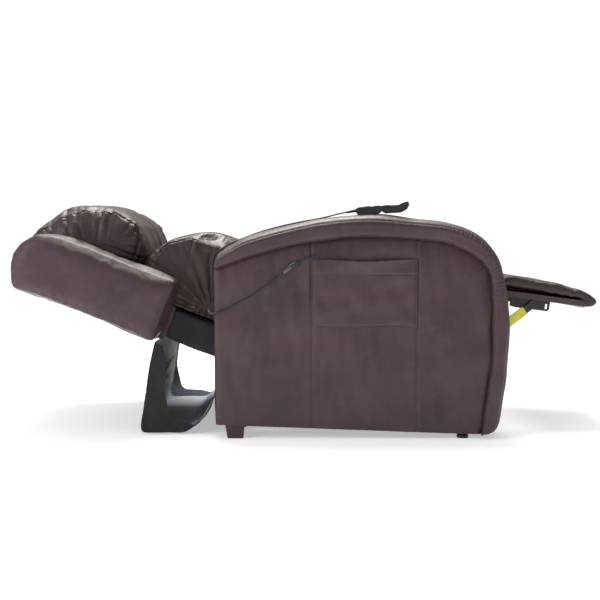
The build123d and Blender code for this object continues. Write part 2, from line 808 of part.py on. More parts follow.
def handset_lower_shell():
    """The lower half of the handset's case, hollow inside."""
    shell = handset_shape() & block(-10, 170, -40, 40, -10, handset_parting)
    cavity = block(14, 64, -21, 21, 2.5, handset_parting)
    cavity += block(94, 138, -21, 21, 2.5, handset_parting)
    return handset_place * (shell - cavity)


def handset_upper_shell():
    """The upper half of the handset's case, with openings for the buttons."""
    shell = handset_shape() & block(-10, 170, -40, 40, handset_parting, 60)
    shell -= block(20, 110, -22, 22, handset_parting, handset_top - 2.5)
    for x, y in button_places():
        shell -= button_shape(x, y, button_gap, handset_top - 4, handset_top + 4)
    return handset_place * shell


def handset_button(x, y):
    """One key, with a flange under the case that keeps it in."""
    travel = button_travel
    low = handset_top - 2.5
    key = button_shape(x, y, 0, low - 0.2, handset_top + 1.6)
    flange = button_shape(x, y, 1.2, low - 1.6 - travel, low - 0.2)
    return handset_place * (key + flange)


# ---- cords -----------------------------------------------------------------------------------------
def cord_tube(points, diameter, name):
    """A tube along straight runs joined by tangent arcs as large as the runs allow."""
    radii = []
    for before, here, after in zip(points, points[1:], points[2:]):
        into, out = Vector(*here) - Vector(*before), Vector(*after) - Vector(*here)
        turn = math.radians(into.get_angle(out))
        radii.append(0.45 * min(into.length, out.length) / math.tan(turn / 2))
    path = FilletPolyline(*points, radius=radii)
    start = Plane(path @ 0, z_dir=path % 0)
    tube = sweep(start * Circle(diameter / 2), path=path)
    expected = math.pi * diameter**2 / 4 * path.length
    print(name, "length", round(path.length, 1), "smallest radius", round(min(radii), 1),
          "radii", [round(r) for r in radii], "volume share", round(tube.volume / expected, 4))
    return tube


cord_clearance = 3.4
cord_y = -panel_y - cord_clearance - harness_diameter / 2
outlet_z = 533.0
outlet_x = 34.0
connector_angle = 215.0
connector_half = 28.0

harness_route = [(outlet_x, cord_y, outlet_z), (22, cord_y, outlet_z),
                 (9, cord_y, outlet_z - 4.6), (-3, cord_y, outlet_z - 13)]


def along_connector(distance):
    """A point on the connector's axis, from the harness end towards the handset's cord."""
    a = math.radians(connector_angle)
    x, y, z = harness_route[-1]
    return (x + distance * math.cos(a), y, z + distance * math.sin(a))


relief_length = 32.0
relief_slope = 10.0
relief_mouth = handset_place * Pos(4, 0, 13.5)
relief_mouth = tuple(relief_mouth.position)


def along_relief(distance):
    """A point on the axis of the handset's strain relief, measured back from its mouth."""
    a = math.radians(relief_slope)
    x, y, z = relief_mouth
    return (x - distance * math.cos(a), y, z - distance * math.sin(a))


handset_route = [
    along_connector(2 * connector_half), along_connector(2 * connector_half + 28),
    (-107, cord_y, 443), (-146, cord_y, 418), (-189, cord_y, 394), (-226, cord_y - 1, 377),
    (-254, cord_y - 2, 368), (-271, cord_y + 9, 370), (-278, cord_y + 26, 384),
    (-276, cord_y + 42, 408), (-272, cord_y + 55, 442), (-269, cord_y + 62, 482),
    (-267, -350, 518), (-259, -348, 545), (-238, -347.5, 564), (-207, -347.5, 578),
    (-164, -347.5, 597), (-112, -347.5, 614), (-56, -347.5, 629), (0, -347.5, 641),
    (50, -347.5, 649), (84, -347.5, 654), along_relief(relief_length + 24),
    along_relief(relief_length),
]


def harness_outlet():
    """The moulded boot where the harness comes out of the panel above the pocket."""
    boot = block(outlet_x, outlet_x + 24, -panel_y - 11, -panel_y, outlet_z - 7, outlet_z + 7)
    return fillet(boot.edges().filter_by(Axis.Y), 3)


def connector_piece(start, end, radius, chamfered):
    """A round plug body along the connector's axis."""
    base = Vector(*along_connector(start))
    direction = Vector(*along_connector(end)) - base
    body = extrude(Plane(base, z_dir=direction) * Circle(radius), direction.length)
    edges = body.edges().filter_by(GeomType.CIRCLE).sort_by(lambda e: (e.center() - base).length)
    return chamfer(edges[0] if chamfered == "start" else edges[-1], 2.5)


def connector_socket():
    """The harness's half of the inline connector."""
    return connector_piece(0, connector_half, 6.0, "start")


def connector_plug():
    """The handset cord's half of the inline connector."""
    return connector_piece(connector_half, 2 * connector_half, 5.0, "end")


def handset_strain_relief():
    """The tapered sleeve where the cord enters the handset."""
    start, end = Vector(*handset_route[-1]), Vector(*relief_mouth)
    direction = end - start
    front = Plane(start, z_dir=direction)
    sleeve = loft([front * Circle(3.2), front.offset(direction.length + 6) * Circle(5.2)])
    return sleeve - handset_place * handset_shape()


# ---- all the pieces --------------------------------------------------------------------------
def all_parts():
    """Every node of the chair by name."""
    lift = (lift_mouth_x, 0.0, lift_rod_z, 1, lift_tube_length, 105, -motor_offset)
    recline = (recline_mouth_x, recline_actuator_y, recline_rod_z, -1, recline_tube_length, 100,
               -motor_offset)
    footrest = (footrest_mouth_x, footrest_actuator_y, footrest_rod_z, 1, footrest_tube_length, 95,
                motor_offset)
    footrest_hanger, recline_hanger = hanger_positions()
    parts = {
        "base_side_rails": base_side_rails(),
        "base_cross_tubes": base_cross_tubes(),
        "base_lift_brackets": base_lift_brackets(),
        "base_glides": base_glides(),
        "lift_actuator_bracket": lift_actuator_bracket(),
        "lift_actuator_body": actuator_body(*lift),
        "lift_actuator_rod": actuator_rod(lift_rod_x, 0, lift_rod_z, 1, lift_tube_length - 15),
        "lift_links": lift_links(),
        "lift_torque_tube": lift_torque_tube(),
        "seat_side_rails": seat_side_rails(),
        "seat_cross_rails": seat_cross_rails(),
        "lift_side_plates": lift_side_plates(),
        "back_hinge_brackets": back_hinge_brackets(),
        "footrest_brackets": footrest_brackets(),
        "seat_deck": seat_deck(),
        "seat_cushion": seat_cushion(),
        "chaise_bridge": chaise_bridge(),
        "control_box": control_box(),
        "actuator_hangers": group(hanger(footrest_hanger, footrest_actuator_y, footrest_rod_z),
                                  hanger(recline_hanger, recline_actuator_y, recline_rod_z)),
        "recline_actuator_body": actuator_body(*recline),
        "recline_actuator_rod": actuator_rod(recline_rod_x, recline_actuator_y, recline_rod_z, -1,
                                             recline_tube_length - 15),
        "footrest_actuator_body": actuator_body(*footrest),
        "footrest_actuator_rod": actuator_rod(footrest_rod_x, footrest_actuator_y, footrest_rod_z,
                                              1, footrest_stroke + rod_guide + 3),
        "arm_rolls": both_sides(arm_roll()),
        "arm_outer_panels": both_sides(arm_outer_panel()),
        "arm_inner_panels": both_sides(arm_inner_panel()),
        "arm_frames": both_sides(arm_frame()),
        "side_pocket": side_pocket(),
        "block_feet": both_sides(block_foot()),
        "arm_glides": both_sides(arm_glide()),
        "rear_skirt": rear_skirt(),
        "lower_back_board": lower_back_board(),
        "back_torque_tube": back_torque_tube(),
        "back_hinge_plates": back_hinge_plates(),
        "back_frame": back_frame(),
        "back_rear_panel": back_rear_panel(),
        "back_wings": both_sides(back_wing()),
        "headrest_cushion": headrest_cushion(),
        "lumbar_cushion": lumbar_cushion(),
        "footrest_inner_links": footrest_inner_links(),
        "footrest_torque_tube": footrest_torque_tube(),
        "footrest_outer_links": footrest_outer_links(),
        "pinch_guards": pinch_guards(),
        "ottoman_brackets": ottoman_brackets(),
        "ottoman_board": ottoman_board(),
        "ottoman_pad": ottoman_pad(),
        "handset_lower_shell": handset_lower_shell(),
        "handset_upper_shell": handset_upper_shell(),
        "handset_strain_relief": handset_strain_relief(),
        "harness_outlet": harness_outlet(),
        "harness_cord": cord_tube(harness_route, harness_diameter, "harness_cord"),
        "connector_socket": connector_socket(),
        "connector_plug": connector_plug(),
        "handset_cord": cord_tube(handset_route, cord_diameter, "handset_cord"),
    }
    for number, place in enumerate(button_places(), 1):
        parts[f"handset_button_{number}"] = handset_button(*place)
    return parts


parts = all_parts()
boxes = [shape.bounding_box() for name, shape in parts.items() if not name.endswith("_cord")]
middle_x = (min(b.min.X for b in boxes) + max(b.max.X for b in boxes)) / 2
print(len(parts), "nodes, length", round(max(b.max.X for b in boxes) - min(b.min.X for b in boxes), 1),
      "middle", round(middle_x, 3), "height", round(max(b.max.Z for b in boxes), 1))

os.makedirs("parts", exist_ok=True)
for name, shape in parts.items():
    export_step(Pos(-middle_x, 0, 0) * shape, f"parts/{name}.step")
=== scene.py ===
import json
import math

import bpy
import numpy as np
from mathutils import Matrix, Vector


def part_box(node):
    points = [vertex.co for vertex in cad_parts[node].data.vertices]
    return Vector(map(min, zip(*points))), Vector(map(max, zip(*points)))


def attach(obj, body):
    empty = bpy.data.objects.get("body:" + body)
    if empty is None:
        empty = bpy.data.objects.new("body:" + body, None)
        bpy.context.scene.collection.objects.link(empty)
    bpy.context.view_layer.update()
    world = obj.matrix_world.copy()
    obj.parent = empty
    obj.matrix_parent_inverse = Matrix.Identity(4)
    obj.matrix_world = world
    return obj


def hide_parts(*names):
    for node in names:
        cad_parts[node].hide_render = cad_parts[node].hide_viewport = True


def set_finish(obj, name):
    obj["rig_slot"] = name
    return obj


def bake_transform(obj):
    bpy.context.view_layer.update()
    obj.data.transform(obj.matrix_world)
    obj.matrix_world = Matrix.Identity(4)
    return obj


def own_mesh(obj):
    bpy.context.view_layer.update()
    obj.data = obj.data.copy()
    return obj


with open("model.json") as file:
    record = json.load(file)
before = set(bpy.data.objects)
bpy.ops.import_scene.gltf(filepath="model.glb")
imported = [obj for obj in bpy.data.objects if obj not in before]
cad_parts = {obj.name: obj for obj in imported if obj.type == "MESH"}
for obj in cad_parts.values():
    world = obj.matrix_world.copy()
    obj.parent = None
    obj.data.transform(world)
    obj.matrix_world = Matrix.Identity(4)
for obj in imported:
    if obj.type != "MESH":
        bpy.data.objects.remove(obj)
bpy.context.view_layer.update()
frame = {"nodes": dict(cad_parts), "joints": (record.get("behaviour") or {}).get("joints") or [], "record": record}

# Power lift recliner in dark leather, lying back with its footrest out. Metres.
# Places come from the imported model's boxes and joints. The outlines of the back and of the footrest
# are given from their hinges, and the skirt's and the cords' points are listed.

scene = bpy.context.scene

# ---- landmarks ----
arm_low, arm_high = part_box("arm_rolls")
REAR, FRONT, TOP = arm_low.x, arm_high.x, arm_high.z
ARM_OUTSIDE = arm_high.y
PANEL_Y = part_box("arm_outer_panels")[1].y
ARM_WIDTH = 0.155
CREST_Y = ARM_OUTSIDE - ARM_WIDTH / 2
INNER_Y = ARM_OUTSIDE - ARM_WIDTH
ROLL = 0.062
ROLL_FRONT = 0.053
REAR_TOP = TOP - 0.138
EDGE = FRONT - ROLL_FRONT
INSIDE_TOP = TOP - ROLL
pocket_low, pocket_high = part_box("side_pocket")
SEAMS_X = (pocket_low.x - 0.002, pocket_high.x - 0.004)

handset_low, handset_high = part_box("handset_lower_shell")
HANDSET_X = (handset_low.x + handset_high.x) / 2

joints = {joint["name"]: joint for joint in frame["joints"]}
BACK_PIVOT = joints["recline"]["pos_m"]
BACK_ANGLE = math.radians(22.0)
OTTOMAN_PIVOT = joints["ottoman_swing"]["pos_m"]
OTTOMAN_ANGLE = math.radians(7.5)
BACK_LENGTH = 0.800
WING_START = 0.300
LUMBAR_END = 0.442
WING_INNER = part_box("headrest_cushion")[1].y + 0.004
WING_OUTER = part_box("back_wings")[1].y
CUSHION_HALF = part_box("seat_cushion")[1].y


def on_back(s, t):
    """X and Z of a point s along the reclined back and t towards its front."""
    cos, sin = math.cos(BACK_ANGLE), math.sin(BACK_ANGLE)
    return (BACK_PIVOT[0] - s * cos + t * sin, BACK_PIVOT[2] + s * sin + t * cos)


def along_back(points):
    """How far points lie along the back, and how far towards its front."""
    cos, sin = math.cos(BACK_ANGLE), math.sin(BACK_ANGLE)
    x, z = points[:, 0] - BACK_PIVOT[0], points[:, 2] - BACK_PIVOT[2]
    return -x * cos + z * sin, x * sin + z * cos


def on_ottoman(x, z):
    """X and Z of a point x forward of the ottoman's hinge and z above it."""
    cos, sin = math.cos(OTTOMAN_ANGLE), math.sin(OTTOMAN_ANGLE)
    return (OTTOMAN_PIVOT[0] + x * cos + z * sin, OTTOMAN_PIVOT[2] - x * sin + z * cos)


def arm_bottom(x):
    """Height of an arm's lower edge."""
    return 0.041 - 0.030 * (x - REAR) / (FRONT - REAR)


# ---- curves and fields ----
CURVE_STEPS = 24               # points between two given ones
SEAM_POINTS = 420              # points that a line is measured to
CHUNK = 20000                  # points measured at a time
CLOTH_FRAMES = 20


def run_of(line):
    """How far along a line each of its points is."""
    return np.concatenate([[0.0], np.cumsum(np.linalg.norm(np.diff(line, axis=0), axis=1))])


def even(line, count):
    """A line's points, evenly spaced."""
    reached = run_of(line)
    wanted = np.linspace(0.0, reached[-1], count)
    return np.column_stack([np.interp(wanted, reached, axis) for axis in line.T])


def smooth_line(points, count):
    """Evenly spaced points on a smooth curve through the given ones."""
    p = np.array(points, float)
    p = np.vstack([2 * p[0] - p[1], p, 2 * p[-1] - p[-2]])
    t = np.linspace(0.0, 1.0, CURVE_STEPS, endpoint=False)[:, None]
    runs = []
    for a, b, c, d in zip(p, p[1:], p[2:], p[3:]):
        runs.append(0.5 * (2 * b + (c - a) * t + (2 * a - 5 * b + 4 * c - d) * t**2
                           + (3 * b - a - 3 * c + d) * t**3))
    return even(np.vstack(runs + [p[-2][None]]), count)


def closed_line(points, count):
    """Evenly spaced points round a closed outline with gently rounded corners."""
    p = np.array(points, float)
    ring = even(np.vstack([p, p[:1]]), count + 1)[:-1]
    for _ in range(3):
        ring = 0.5 * ring + 0.25 * (np.roll(ring, 1, axis=0) + np.roll(ring, -1, axis=0))
    return ring


def shrunk(ring, distance):
    """A closed outline moved inwards."""
    along = np.roll(ring, -1, axis=0) - np.roll(ring, 1, axis=0)
    along /= np.linalg.norm(along, axis=1)[:, None]
    normal = np.column_stack([along[:, 1], -along[:, 0]])
    x, z = ring.T
    area = np.sum(x * np.roll(z, -1) - np.roll(x, -1) * z)
    return ring - normal * distance * (1 if area > 0 else -1)


def nearest(line, points, closed=True):
    """Each point's distance to a line, and how far along the line it is."""
    if closed:
        line = np.vstack([line, line[:1]])
    line = even(line, SEAM_POINTS)
    step = np.linalg.norm(line[1] - line[0])
    gap, index = np.empty(len(points)), np.empty(len(points), int)
    for start in range(0, len(points), CHUNK):
        part = points[start:start + CHUNK]
        square = ((part[:, None, :] - line[None]) ** 2).sum(axis=2)
        found = square.argmin(axis=1)
        index[start:start + CHUNK] = found
        gap[start:start + CHUNK] = np.sqrt(square[np.arange(len(part)), found])
    return gap, index * step


def waves(points, wavelength, seed, count=8):
    """A soft uneven field between about -1 and 1."""
    rng = np.random.default_rng(seed)
    total = np.zeros(len(points))
    for _ in range(count):
        heading = rng.normal(size=points.shape[1])
        heading /= np.linalg.norm(heading)
        length = wavelength * rng.uniform(0.7, 1.6)
        total += np.sin(points @ heading * 2 * math.pi / length + rng.uniform(0, 2 * math.pi))
    return total / math.sqrt(count)


def pleats(along, spacing, seed):
    """Gathers across a seam: rounded ridges with sharp valleys, unevenly spaced and deep."""
    drift = waves(along[:, None], spacing * 6, seed, 4) * 0.55
    depth = 0.65 + 0.35 * waves(along[:, None], spacing * 4, seed + 1, 4)
    return (np.abs(np.sin(math.pi * (along / spacing + drift))) ** 0.8 - 0.62) * depth


def bell(distance, width):
    """1 at a distance of nothing, falling off smoothly."""
    return np.exp(-(distance / width) ** 2)


# ---- meshes ----
def new_piece(name, vertices, faces, finish, slot):
    """A smooth-shaded mesh piece."""
    mesh = bpy.data.meshes.new(name)
    mesh.from_pydata([tuple(v) for v in vertices], [], [tuple(f) for f in faces])
    mesh.validate()
    mesh.update()
    mesh.polygons.foreach_set("use_smooth", [True] * len(mesh.polygons))
    piece = bpy.data.objects.new(name, mesh)
    scene.collection.objects.link(piece)
    piece.data.materials.append(finish)
    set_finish(piece, slot)
    return piece


def grid_faces(rows, columns, closed=False):
    """Quads over a grid of points, row by row."""
    across = columns if closed else columns - 1
    i, j = np.meshgrid(np.arange(rows - 1), np.arange(across), indexing="ij")
    k = (j + 1) % columns
    quads = np.stack([i * columns + j, i * columns + k, (i + 1) * columns + k, (i + 1) * columns + j])
    return quads.reshape(4, -1).T


def grid_normals(grid):
    """Unit normals of a grid of points."""
    normal = np.cross(np.gradient(grid, axis=0), np.gradient(grid, axis=1))
    return normal / np.maximum(np.linalg.norm(normal, axis=2), 1e-9)[..., None]


def mirrored(piece, name):
    """A copy of a piece on the chair's other side."""
    mesh = piece.data.copy()
    other = bpy.data.objects.new(name, mesh)
    scene.collection.objects.link(other)
    for vertex in mesh.vertices:
        vertex.co.y = -vertex.co.y
    mesh.flip_normals()
    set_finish(other, piece["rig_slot"])
    return other


def points_of(piece):
    """A mesh's points as an array."""
    flat = np.empty(len(piece.data.vertices) * 3)
    piece.data.vertices.foreach_get("co", flat)
    return flat.reshape(-1, 3)


def normals_of(piece):
    """A mesh's normals as an array."""
    flat = np.empty(len(piece.data.vertices) * 3)
    piece.data.vertices.foreach_get("normal", flat)
    return flat.reshape(-1, 3)


def set_points(piece, points):
    """Moves a mesh's points to the given places."""
    piece.data.vertices.foreach_set("co", points.ravel())
    piece.data.update()


def apply(piece, kind, **settings):
    """Adds one modifier and applies it."""
    modifier = piece.modifiers.new(kind.title(), kind)
    for name, value in settings.items():
        setattr(modifier, name, value)
    depsgraph = bpy.context.evaluated_depsgraph_get()
    result = bpy.data.meshes.new_from_object(piece.evaluated_get(depsgraph))
    piece.modifiers.clear()
    old, piece.data = piece.data, result
    bpy.data.meshes.remove(old)
    result.polygons.foreach_set("use_smooth", [True] * len(result.polygons))


def prism(name, outline, low, high, finish, slot):
    """A closed solid with an outline in X and Z, from one Y to another."""
    count = len(outline)
    vertices = [(x, low, z) for x, z in outline] + [(x, high, z) for x, z in outline]
    faces = [range(count), range(2 * count - 1, count - 1, -1)]
    faces += [(i, i + count, (i + 1) % count + count, (i + 1) % count) for i in range(count)]
    return new_piece(name, vertices, faces, finish, slot)


def inflate(piece, voxel, cap, held=None, pressure=4.0):
    """Remeshes a solid and swells it as cloth, with no point moving further than cap."""
    apply(piece, "REMESH", mode="VOXEL", voxel_size=voxel)
    apply(piece, "SMOOTH", iterations=6)
    before = points_of(piece)
    cloth = piece.modifiers.new("Cloth", "CLOTH")
    cloth.settings.quality = 4
    cloth.settings.mass = 0.2
    cloth.settings.bending_stiffness = 0.4
    cloth.settings.use_pressure = True
    cloth.settings.uniform_pressure_force = pressure
    cloth.settings.effector_weights.gravity = 0.0
    cloth.collision_settings.use_collision = False
    if held is not None:
        group = piece.vertex_groups.new(name="held")
        group.add([int(i) for i in np.nonzero(held(before))[0]], 1.0, "REPLACE")
        cloth.settings.vertex_group_mass = "held"
    for number in range(1, CLOTH_FRAMES + 1):
        scene.frame_set(number)
    swollen = piece.evaluated_get(bpy.context.evaluated_depsgraph_get())
    move = points_of(swollen) - before
    far = np.maximum(np.linalg.norm(move, axis=1), 1e-9)
    move *= (cap * np.tanh(far / cap) / far)[:, None]
    piece.modifiers.clear()
    scene.frame_set(1)
    set_points(piece, before + move)
    apply(piece, "SMOOTH", iterations=2)
    apply(piece, "SUBSURF", levels=1, render_levels=1)


def gather(piece, outline, middle, half, seam=0.012, depth=0.003, height=0.003, reach=0.04,
           spacing=0.018, seed=1, drift=0.0012):
    """The seam round a cushion's side faces, with gathers that run away from it."""
    points, normals = points_of(piece), normals_of(piece)
    near, along = nearest(outline, points[:, [0, 2]])
    inset = np.maximum(half - np.abs(points[:, 1] - middle), 0.0)
    on_side = np.clip((np.abs(normals[:, 1]) - 0.35) / 0.3, 0.0, 1.0)
    away = on_side * np.abs(near - seam) + (1 - on_side) * (seam + inset)
    offset = height * np.exp(-away / reach) * pleats(along, spacing, seed)
    offset -= depth * bell(away, 0.0045)
    offset += drift * waves(points, 0.09, seed + 5)
    set_points(piece, points + normals * offset[:, None])


def stitches(name, path, length, gap, radius, finish, slot):
    """A row of separate thread stitches along a path."""
    path = np.array(path, float)
    total = np.linalg.norm(np.diff(path, axis=0), axis=1).sum()
    count = max(2, int(total / (length + gap)))
    line = even(path, count * 6)
    vertices, faces = [], []
    for number in range(count):
        run = line[number * 6:number * 6 + 4]
        heading = run[-1] - run[0]
        heading /= np.linalg.norm(heading)
        side = np.cross(heading, (0.0, 1.0, 0.0))
        up = np.cross(side, heading)
        base = len(vertices)
        for place, wide in ((0, 0.3), (1, 1.0), (2, 1.0), (3, 0.3)):
            for turn in range(6):
                a = turn * math.pi / 3
                vertices.append(run[place] + (side * math.cos(a) + up * math.sin(a)) * radius * wide)
        faces += [tuple(base + i for i in face) for face in grid_faces(4, 6, closed=True)]
        faces += [tuple(base + i for i in range(6))[::-1], tuple(base + 18 + i for i in range(6))]
    return new_piece(name, vertices, faces, finish, slot)


# ---- materials ----
class Finish:
    """A material's nodes, with short ways to add the usual ones."""

    def __init__(self, name, roughness=0.5, metallic=0.0, **inputs):
        self.material = bpy.data.materials.new(name)
        self.material.use_nodes = True
        self.nodes, self.links = self.material.node_tree.nodes, self.material.node_tree.links
        self.shader = self.nodes["Principled BSDF"]
        self.shader.inputs["Roughness"].default_value = roughness
        self.shader.inputs["Metallic"].default_value = metallic
        for socket, value in inputs.items():
            self.shader.inputs[socket.replace("_", " ")].default_value = value
        self.place = self.nodes.new("ShaderNodeTexCoord").outputs["Object"]
        self.height = None

    def texture(self, kind, output, **settings):
        node = self.nodes.new(kind)
        for name, value in settings.items():
            if name in node.inputs:
                node.inputs[name].default_value = value
            else:
                setattr(node, name, value)
        self.links.new(self.place, node.inputs["Vector"])
        return node.outputs[output]

    def noise(self, scale, detail=3.0, distortion=0.0):
        return self.texture("ShaderNodeTexNoise", "Fac", Scale=scale, Detail=detail, Distortion=distortion)

    def ramp(self, factor, *stops):
        node = self.nodes.new("ShaderNodeValToRGB")
        ramp = node.color_ramp
        while len(ramp.elements) < len(stops):
            ramp.elements.new(0.5)
        for element, (place, colour) in zip(ramp.elements, stops):
            element.position = place
            element.color = colour if len(colour) == 4 else (*colour, 1.0)
        self.links.new(factor, node.inputs["Fac"])
        return node.outputs["Color"]

    def mix(self, factor, low, high, blend="MIX"):
        node = self.nodes.new("ShaderNodeMix")
        node.data_type, node.blend_type = "RGBA", blend
        for index, value in ((6, low), (7, high)):
            if isinstance(value, tuple):
                node.inputs[index].default_value = (*value, 1.0)
            else:
                self.links.new(value, node.inputs[index])
        if isinstance(factor, float):
            node.inputs[0].default_value = factor
        else:
            self.links.new(factor, node.inputs[0])
        return node.outputs[2]

    def colour(self, output):
        self.links.new(output, self.shader.inputs["Base Color"])

    def rough(self, factor, low, high):
        node = self.nodes.new("ShaderNodeMapRange")
        node.inputs["To Min"].default_value, node.inputs["To Max"].default_value = low, high
        self.links.new(factor, node.inputs["Value"])
        self.links.new(node.outputs["Result"], self.shader.inputs["Roughness"])

    def bump(self, height, distance, strength=1.0):
        node = self.nodes.new("ShaderNodeBump")
        node.inputs["Distance"].default_value = distance
        node.inputs["Strength"].default_value = strength
        self.links.new(height, node.inputs["Height"])
        if self.height is not None:
            self.links.new(self.height, node.inputs["Normal"])
        self.height = node.outputs["Normal"]
        self.links.new(self.height, self.shader.inputs["Normal"])


def leather(name, dark, light, worn, roughness=0.40):
    """Pigmented hide: broad colour drift, pebbled grain, creases, and a soft gloss."""
    finish = Finish(name, Coat_Weight=0.10, Coat_Roughness=0.30, Specular_IOR_Level=0.36)
    broad = finish.noise(5.0, 4.0, 0.6)
    tone = finish.ramp(broad, (0.32, dark), (0.66, light))
    patches = finish.ramp(finish.noise(38.0, 6.0), (0.50, (0, 0, 0)), (0.78, (0.35, 0.35, 0.35)))
    finish.colour(finish.mix(patches, tone, worn))
    finish.rough(finish.noise(24.0, 5.0), roughness - 0.07, roughness + 0.10)
    cells = finish.texture("ShaderNodeTexVoronoi", "Distance", Scale=620.0, feature="DISTANCE_TO_EDGE")
    finish.bump(finish.ramp(cells, (0.0, (0, 0, 0)), (0.16, (1, 1, 1))), 0.00022, 0.7)
    finish.bump(finish.noise(150.0, 5.0, 1.0), 0.0005, 0.45)
    finish.bump(finish.noise(26.0, 4.0, 1.5), 0.0016, 0.35)
    return finish.material


def woven(name, dark, light, threads, roughness=0.85, sheen=0.3):
    """Plain weave of crossing threads."""
    finish = Finish(name, roughness, Sheen_Weight=sheen, Sheen_Roughness=0.5)
    warp = finish.texture("ShaderNodeTexWave", "Fac", Scale=threads, bands_direction="Y",
                          Distortion=5.0, Detail=3.0)
    weft = finish.texture("ShaderNodeTexWave", "Fac", Scale=threads, bands_direction="Z",
                          Distortion=5.0, Detail=3.0)
    weave = finish.mix(0.5, warp, weft)
    drift = finish.noise(9.0, 4.0)
    finish.colour(finish.ramp(drift, (0.3, dark), (0.7, light)))
    finish.rough(drift, roughness - 0.05, roughness + 0.1)
    finish.bump(weave, 0.0004, 0.6)
    finish.bump(finish.noise(30.0, 3.0), 0.001, 0.3)
    return finish.material


def plastic(name, dark, light, roughness=0.42, grain=900.0, **inputs):
    """Moulded plastic with a fine spark-eroded grain and a little handling wear."""
    finish = Finish(name, roughness, **inputs)
    finish.colour(finish.ramp(finish.noise(30.0, 4.0), (0.35, dark), (0.7, light)))
    finish.rough(finish.noise(60.0, 4.0), roughness - 0.08, roughness + 0.12)
    finish.bump(finish.noise(grain, 2.0), 0.00008, 0.5)
    return finish.material


def steel(name, dark, light, roughness, metallic, scratch):
    """Painted or bright steel, with drawn scratches or orange peel."""
    finish = Finish(name, roughness, metallic)
    finish.colour(finish.ramp(finish.noise(14.0, 5.0), (0.3, dark), (0.7, light)))
    finish.rough(finish.noise(80.0, 5.0), roughness - 0.08, roughness + 0.14)
    finish.bump(finish.noise(scratch, 3.0), 0.00015, 0.5)
    return finish.material


def wood(name, dark, light, roughness):
    """Stained hardwood with its grain upright."""
    finish = Finish(name, roughness, Specular_IOR_Level=0.3)
    grain = finish.texture("ShaderNodeTexWave", "Fac", Scale=55.0, Distortion=7.0, Detail=4.0,
                           bands_direction="X")
    finish.colour(finish.mix(finish.noise(12.0), finish.ramp(grain, (0.2, dark), (0.8, light)), light))
    finish.bump(grain, 0.0002, 0.5)
    return finish.material


def painted_light_low(material, painted_light_colour, low, high):
    """Paints light onto a cloth: fades its colour towards a paler one where it lies below a height, as painted
    light on its low part.
    """
    nodes, links = material.node_tree.nodes, material.node_tree.links
    kinds = ("TexCoord", "SeparateXYZ", "MapRange")
    place, height, painted_light_share = (nodes.new("ShaderNode" + kind) for kind in kinds)
    painted_light_share.inputs["From Min"].default_value, painted_light_share.inputs["From Max"].default_value = high, low
    links.new(place.outputs["Object"], height.inputs["Vector"])
    links.new(height.outputs["Z"], painted_light_share.inputs["Value"])
    mix = nodes.new("ShaderNodeMix")
    mix.data_type = "RGBA"
    base = nodes["Principled BSDF"].inputs["Base Color"]
    links.new(painted_light_share.outputs["Result"], mix.inputs[0])
    links.new(base.links[0].from_socket, mix.inputs[6])
    mix.inputs[7].default_value = (*painted_light_colour, 1.0)
    links.new(mix.outputs[2], base)


LEATHER = leather("leather", (0.039, 0.0200, 0.0225), (0.060, 0.0325, 0.0370), (0.080, 0.048, 0.052))
LEATHER_SMOOTH = leather("leather_cushion", (0.026, 0.015, 0.013), (0.043, 0.026, 0.022),
                         (0.064, 0.043, 0.034), 0.30)
THREAD = woven("seam_thread", (0.030, 0.020, 0.022), (0.060, 0.042, 0.044), 900.0, 0.6)
BACK_CLOTH = woven("back_cloth", (0.028, 0.023, 0.030), (0.060, 0.052, 0.066), 420.0, 0.85, 0.2)
SKIRT_CLOTH = woven("skirt_cloth", (0.006, 0.006, 0.007), (0.014, 0.013, 0.016), 420.0, 0.85, 0.12)
SKIRT_LINING = woven("skirt_lining", (0.19, 0.20, 0.19), (0.31, 0.32, 0.315), 420.0, 0.8, 0.1)
# Painted light: the lining is made paler below 60 mm, standing in for light that falls on its low part from the
# front.
painted_light_low(SKIRT_LINING, (0.42, 0.45, 0.52), 0.01, 0.060)
FRAME_WOOD = wood("frame_wood", (0.13, 0.080, 0.045), (0.22, 0.145, 0.085), 0.6)
FOOT_WOOD = wood("foot_wood", (0.034, 0.017, 0.017), (0.062, 0.034, 0.037), 0.5)
FRAME_STEEL = steel("frame_steel", (0.012, 0.012, 0.013), (0.022, 0.022, 0.024), 0.42, 0.0, 700.0)
ROD_STEEL = steel("rod_steel", (0.50, 0.50, 0.51), (0.62, 0.62, 0.63), 0.26, 1.0, 300.0)
BLACK_PLASTIC = plastic("black_plastic", (0.010, 0.012, 0.018), (0.018, 0.020, 0.028), 0.34)
GLIDE_PLASTIC = plastic("glide_plastic", (0.006, 0.005, 0.005), (0.012, 0.011, 0.011), 0.5)
KEY_PLASTIC = plastic("key_plastic", (0.20, 0.21, 0.23), (0.27, 0.28, 0.30), 0.5)
LATCH_PLASTIC = plastic("latch_plastic", (0.085, 0.083, 0.093), (0.13, 0.13, 0.14), 0.4)
SLEEVE_PLASTIC = plastic("sleeve_plastic", (0.66, 0.64, 0.045), (0.80, 0.77, 0.09), 0.38)
CABLE = plastic("cable", (0.009, 0.009, 0.010), (0.016, 0.016, 0.018), 0.42, 1400.0)
DUST_CLOTH = woven("dust_cloth", (0.012, 0.012, 0.013), (0.024, 0.024, 0.026), 420.0)

FINISHES = {
    "leather": LEATHER, "back_cloth": BACK_CLOTH, "skirt_cloth": SKIRT_CLOTH,
    "frame_wood": FRAME_WOOD, "foot_wood": FOOT_WOOD, "frame_steel": FRAME_STEEL,
    "rod_steel": ROD_STEEL, "black_plastic": BLACK_PLASTIC, "glide_plastic": GLIDE_PLASTIC,
    "key_plastic": KEY_PLASTIC, "latch_plastic": LATCH_PLASTIC, "sleeve_plastic": SLEEVE_PLASTIC,
    "cable": CABLE,
}

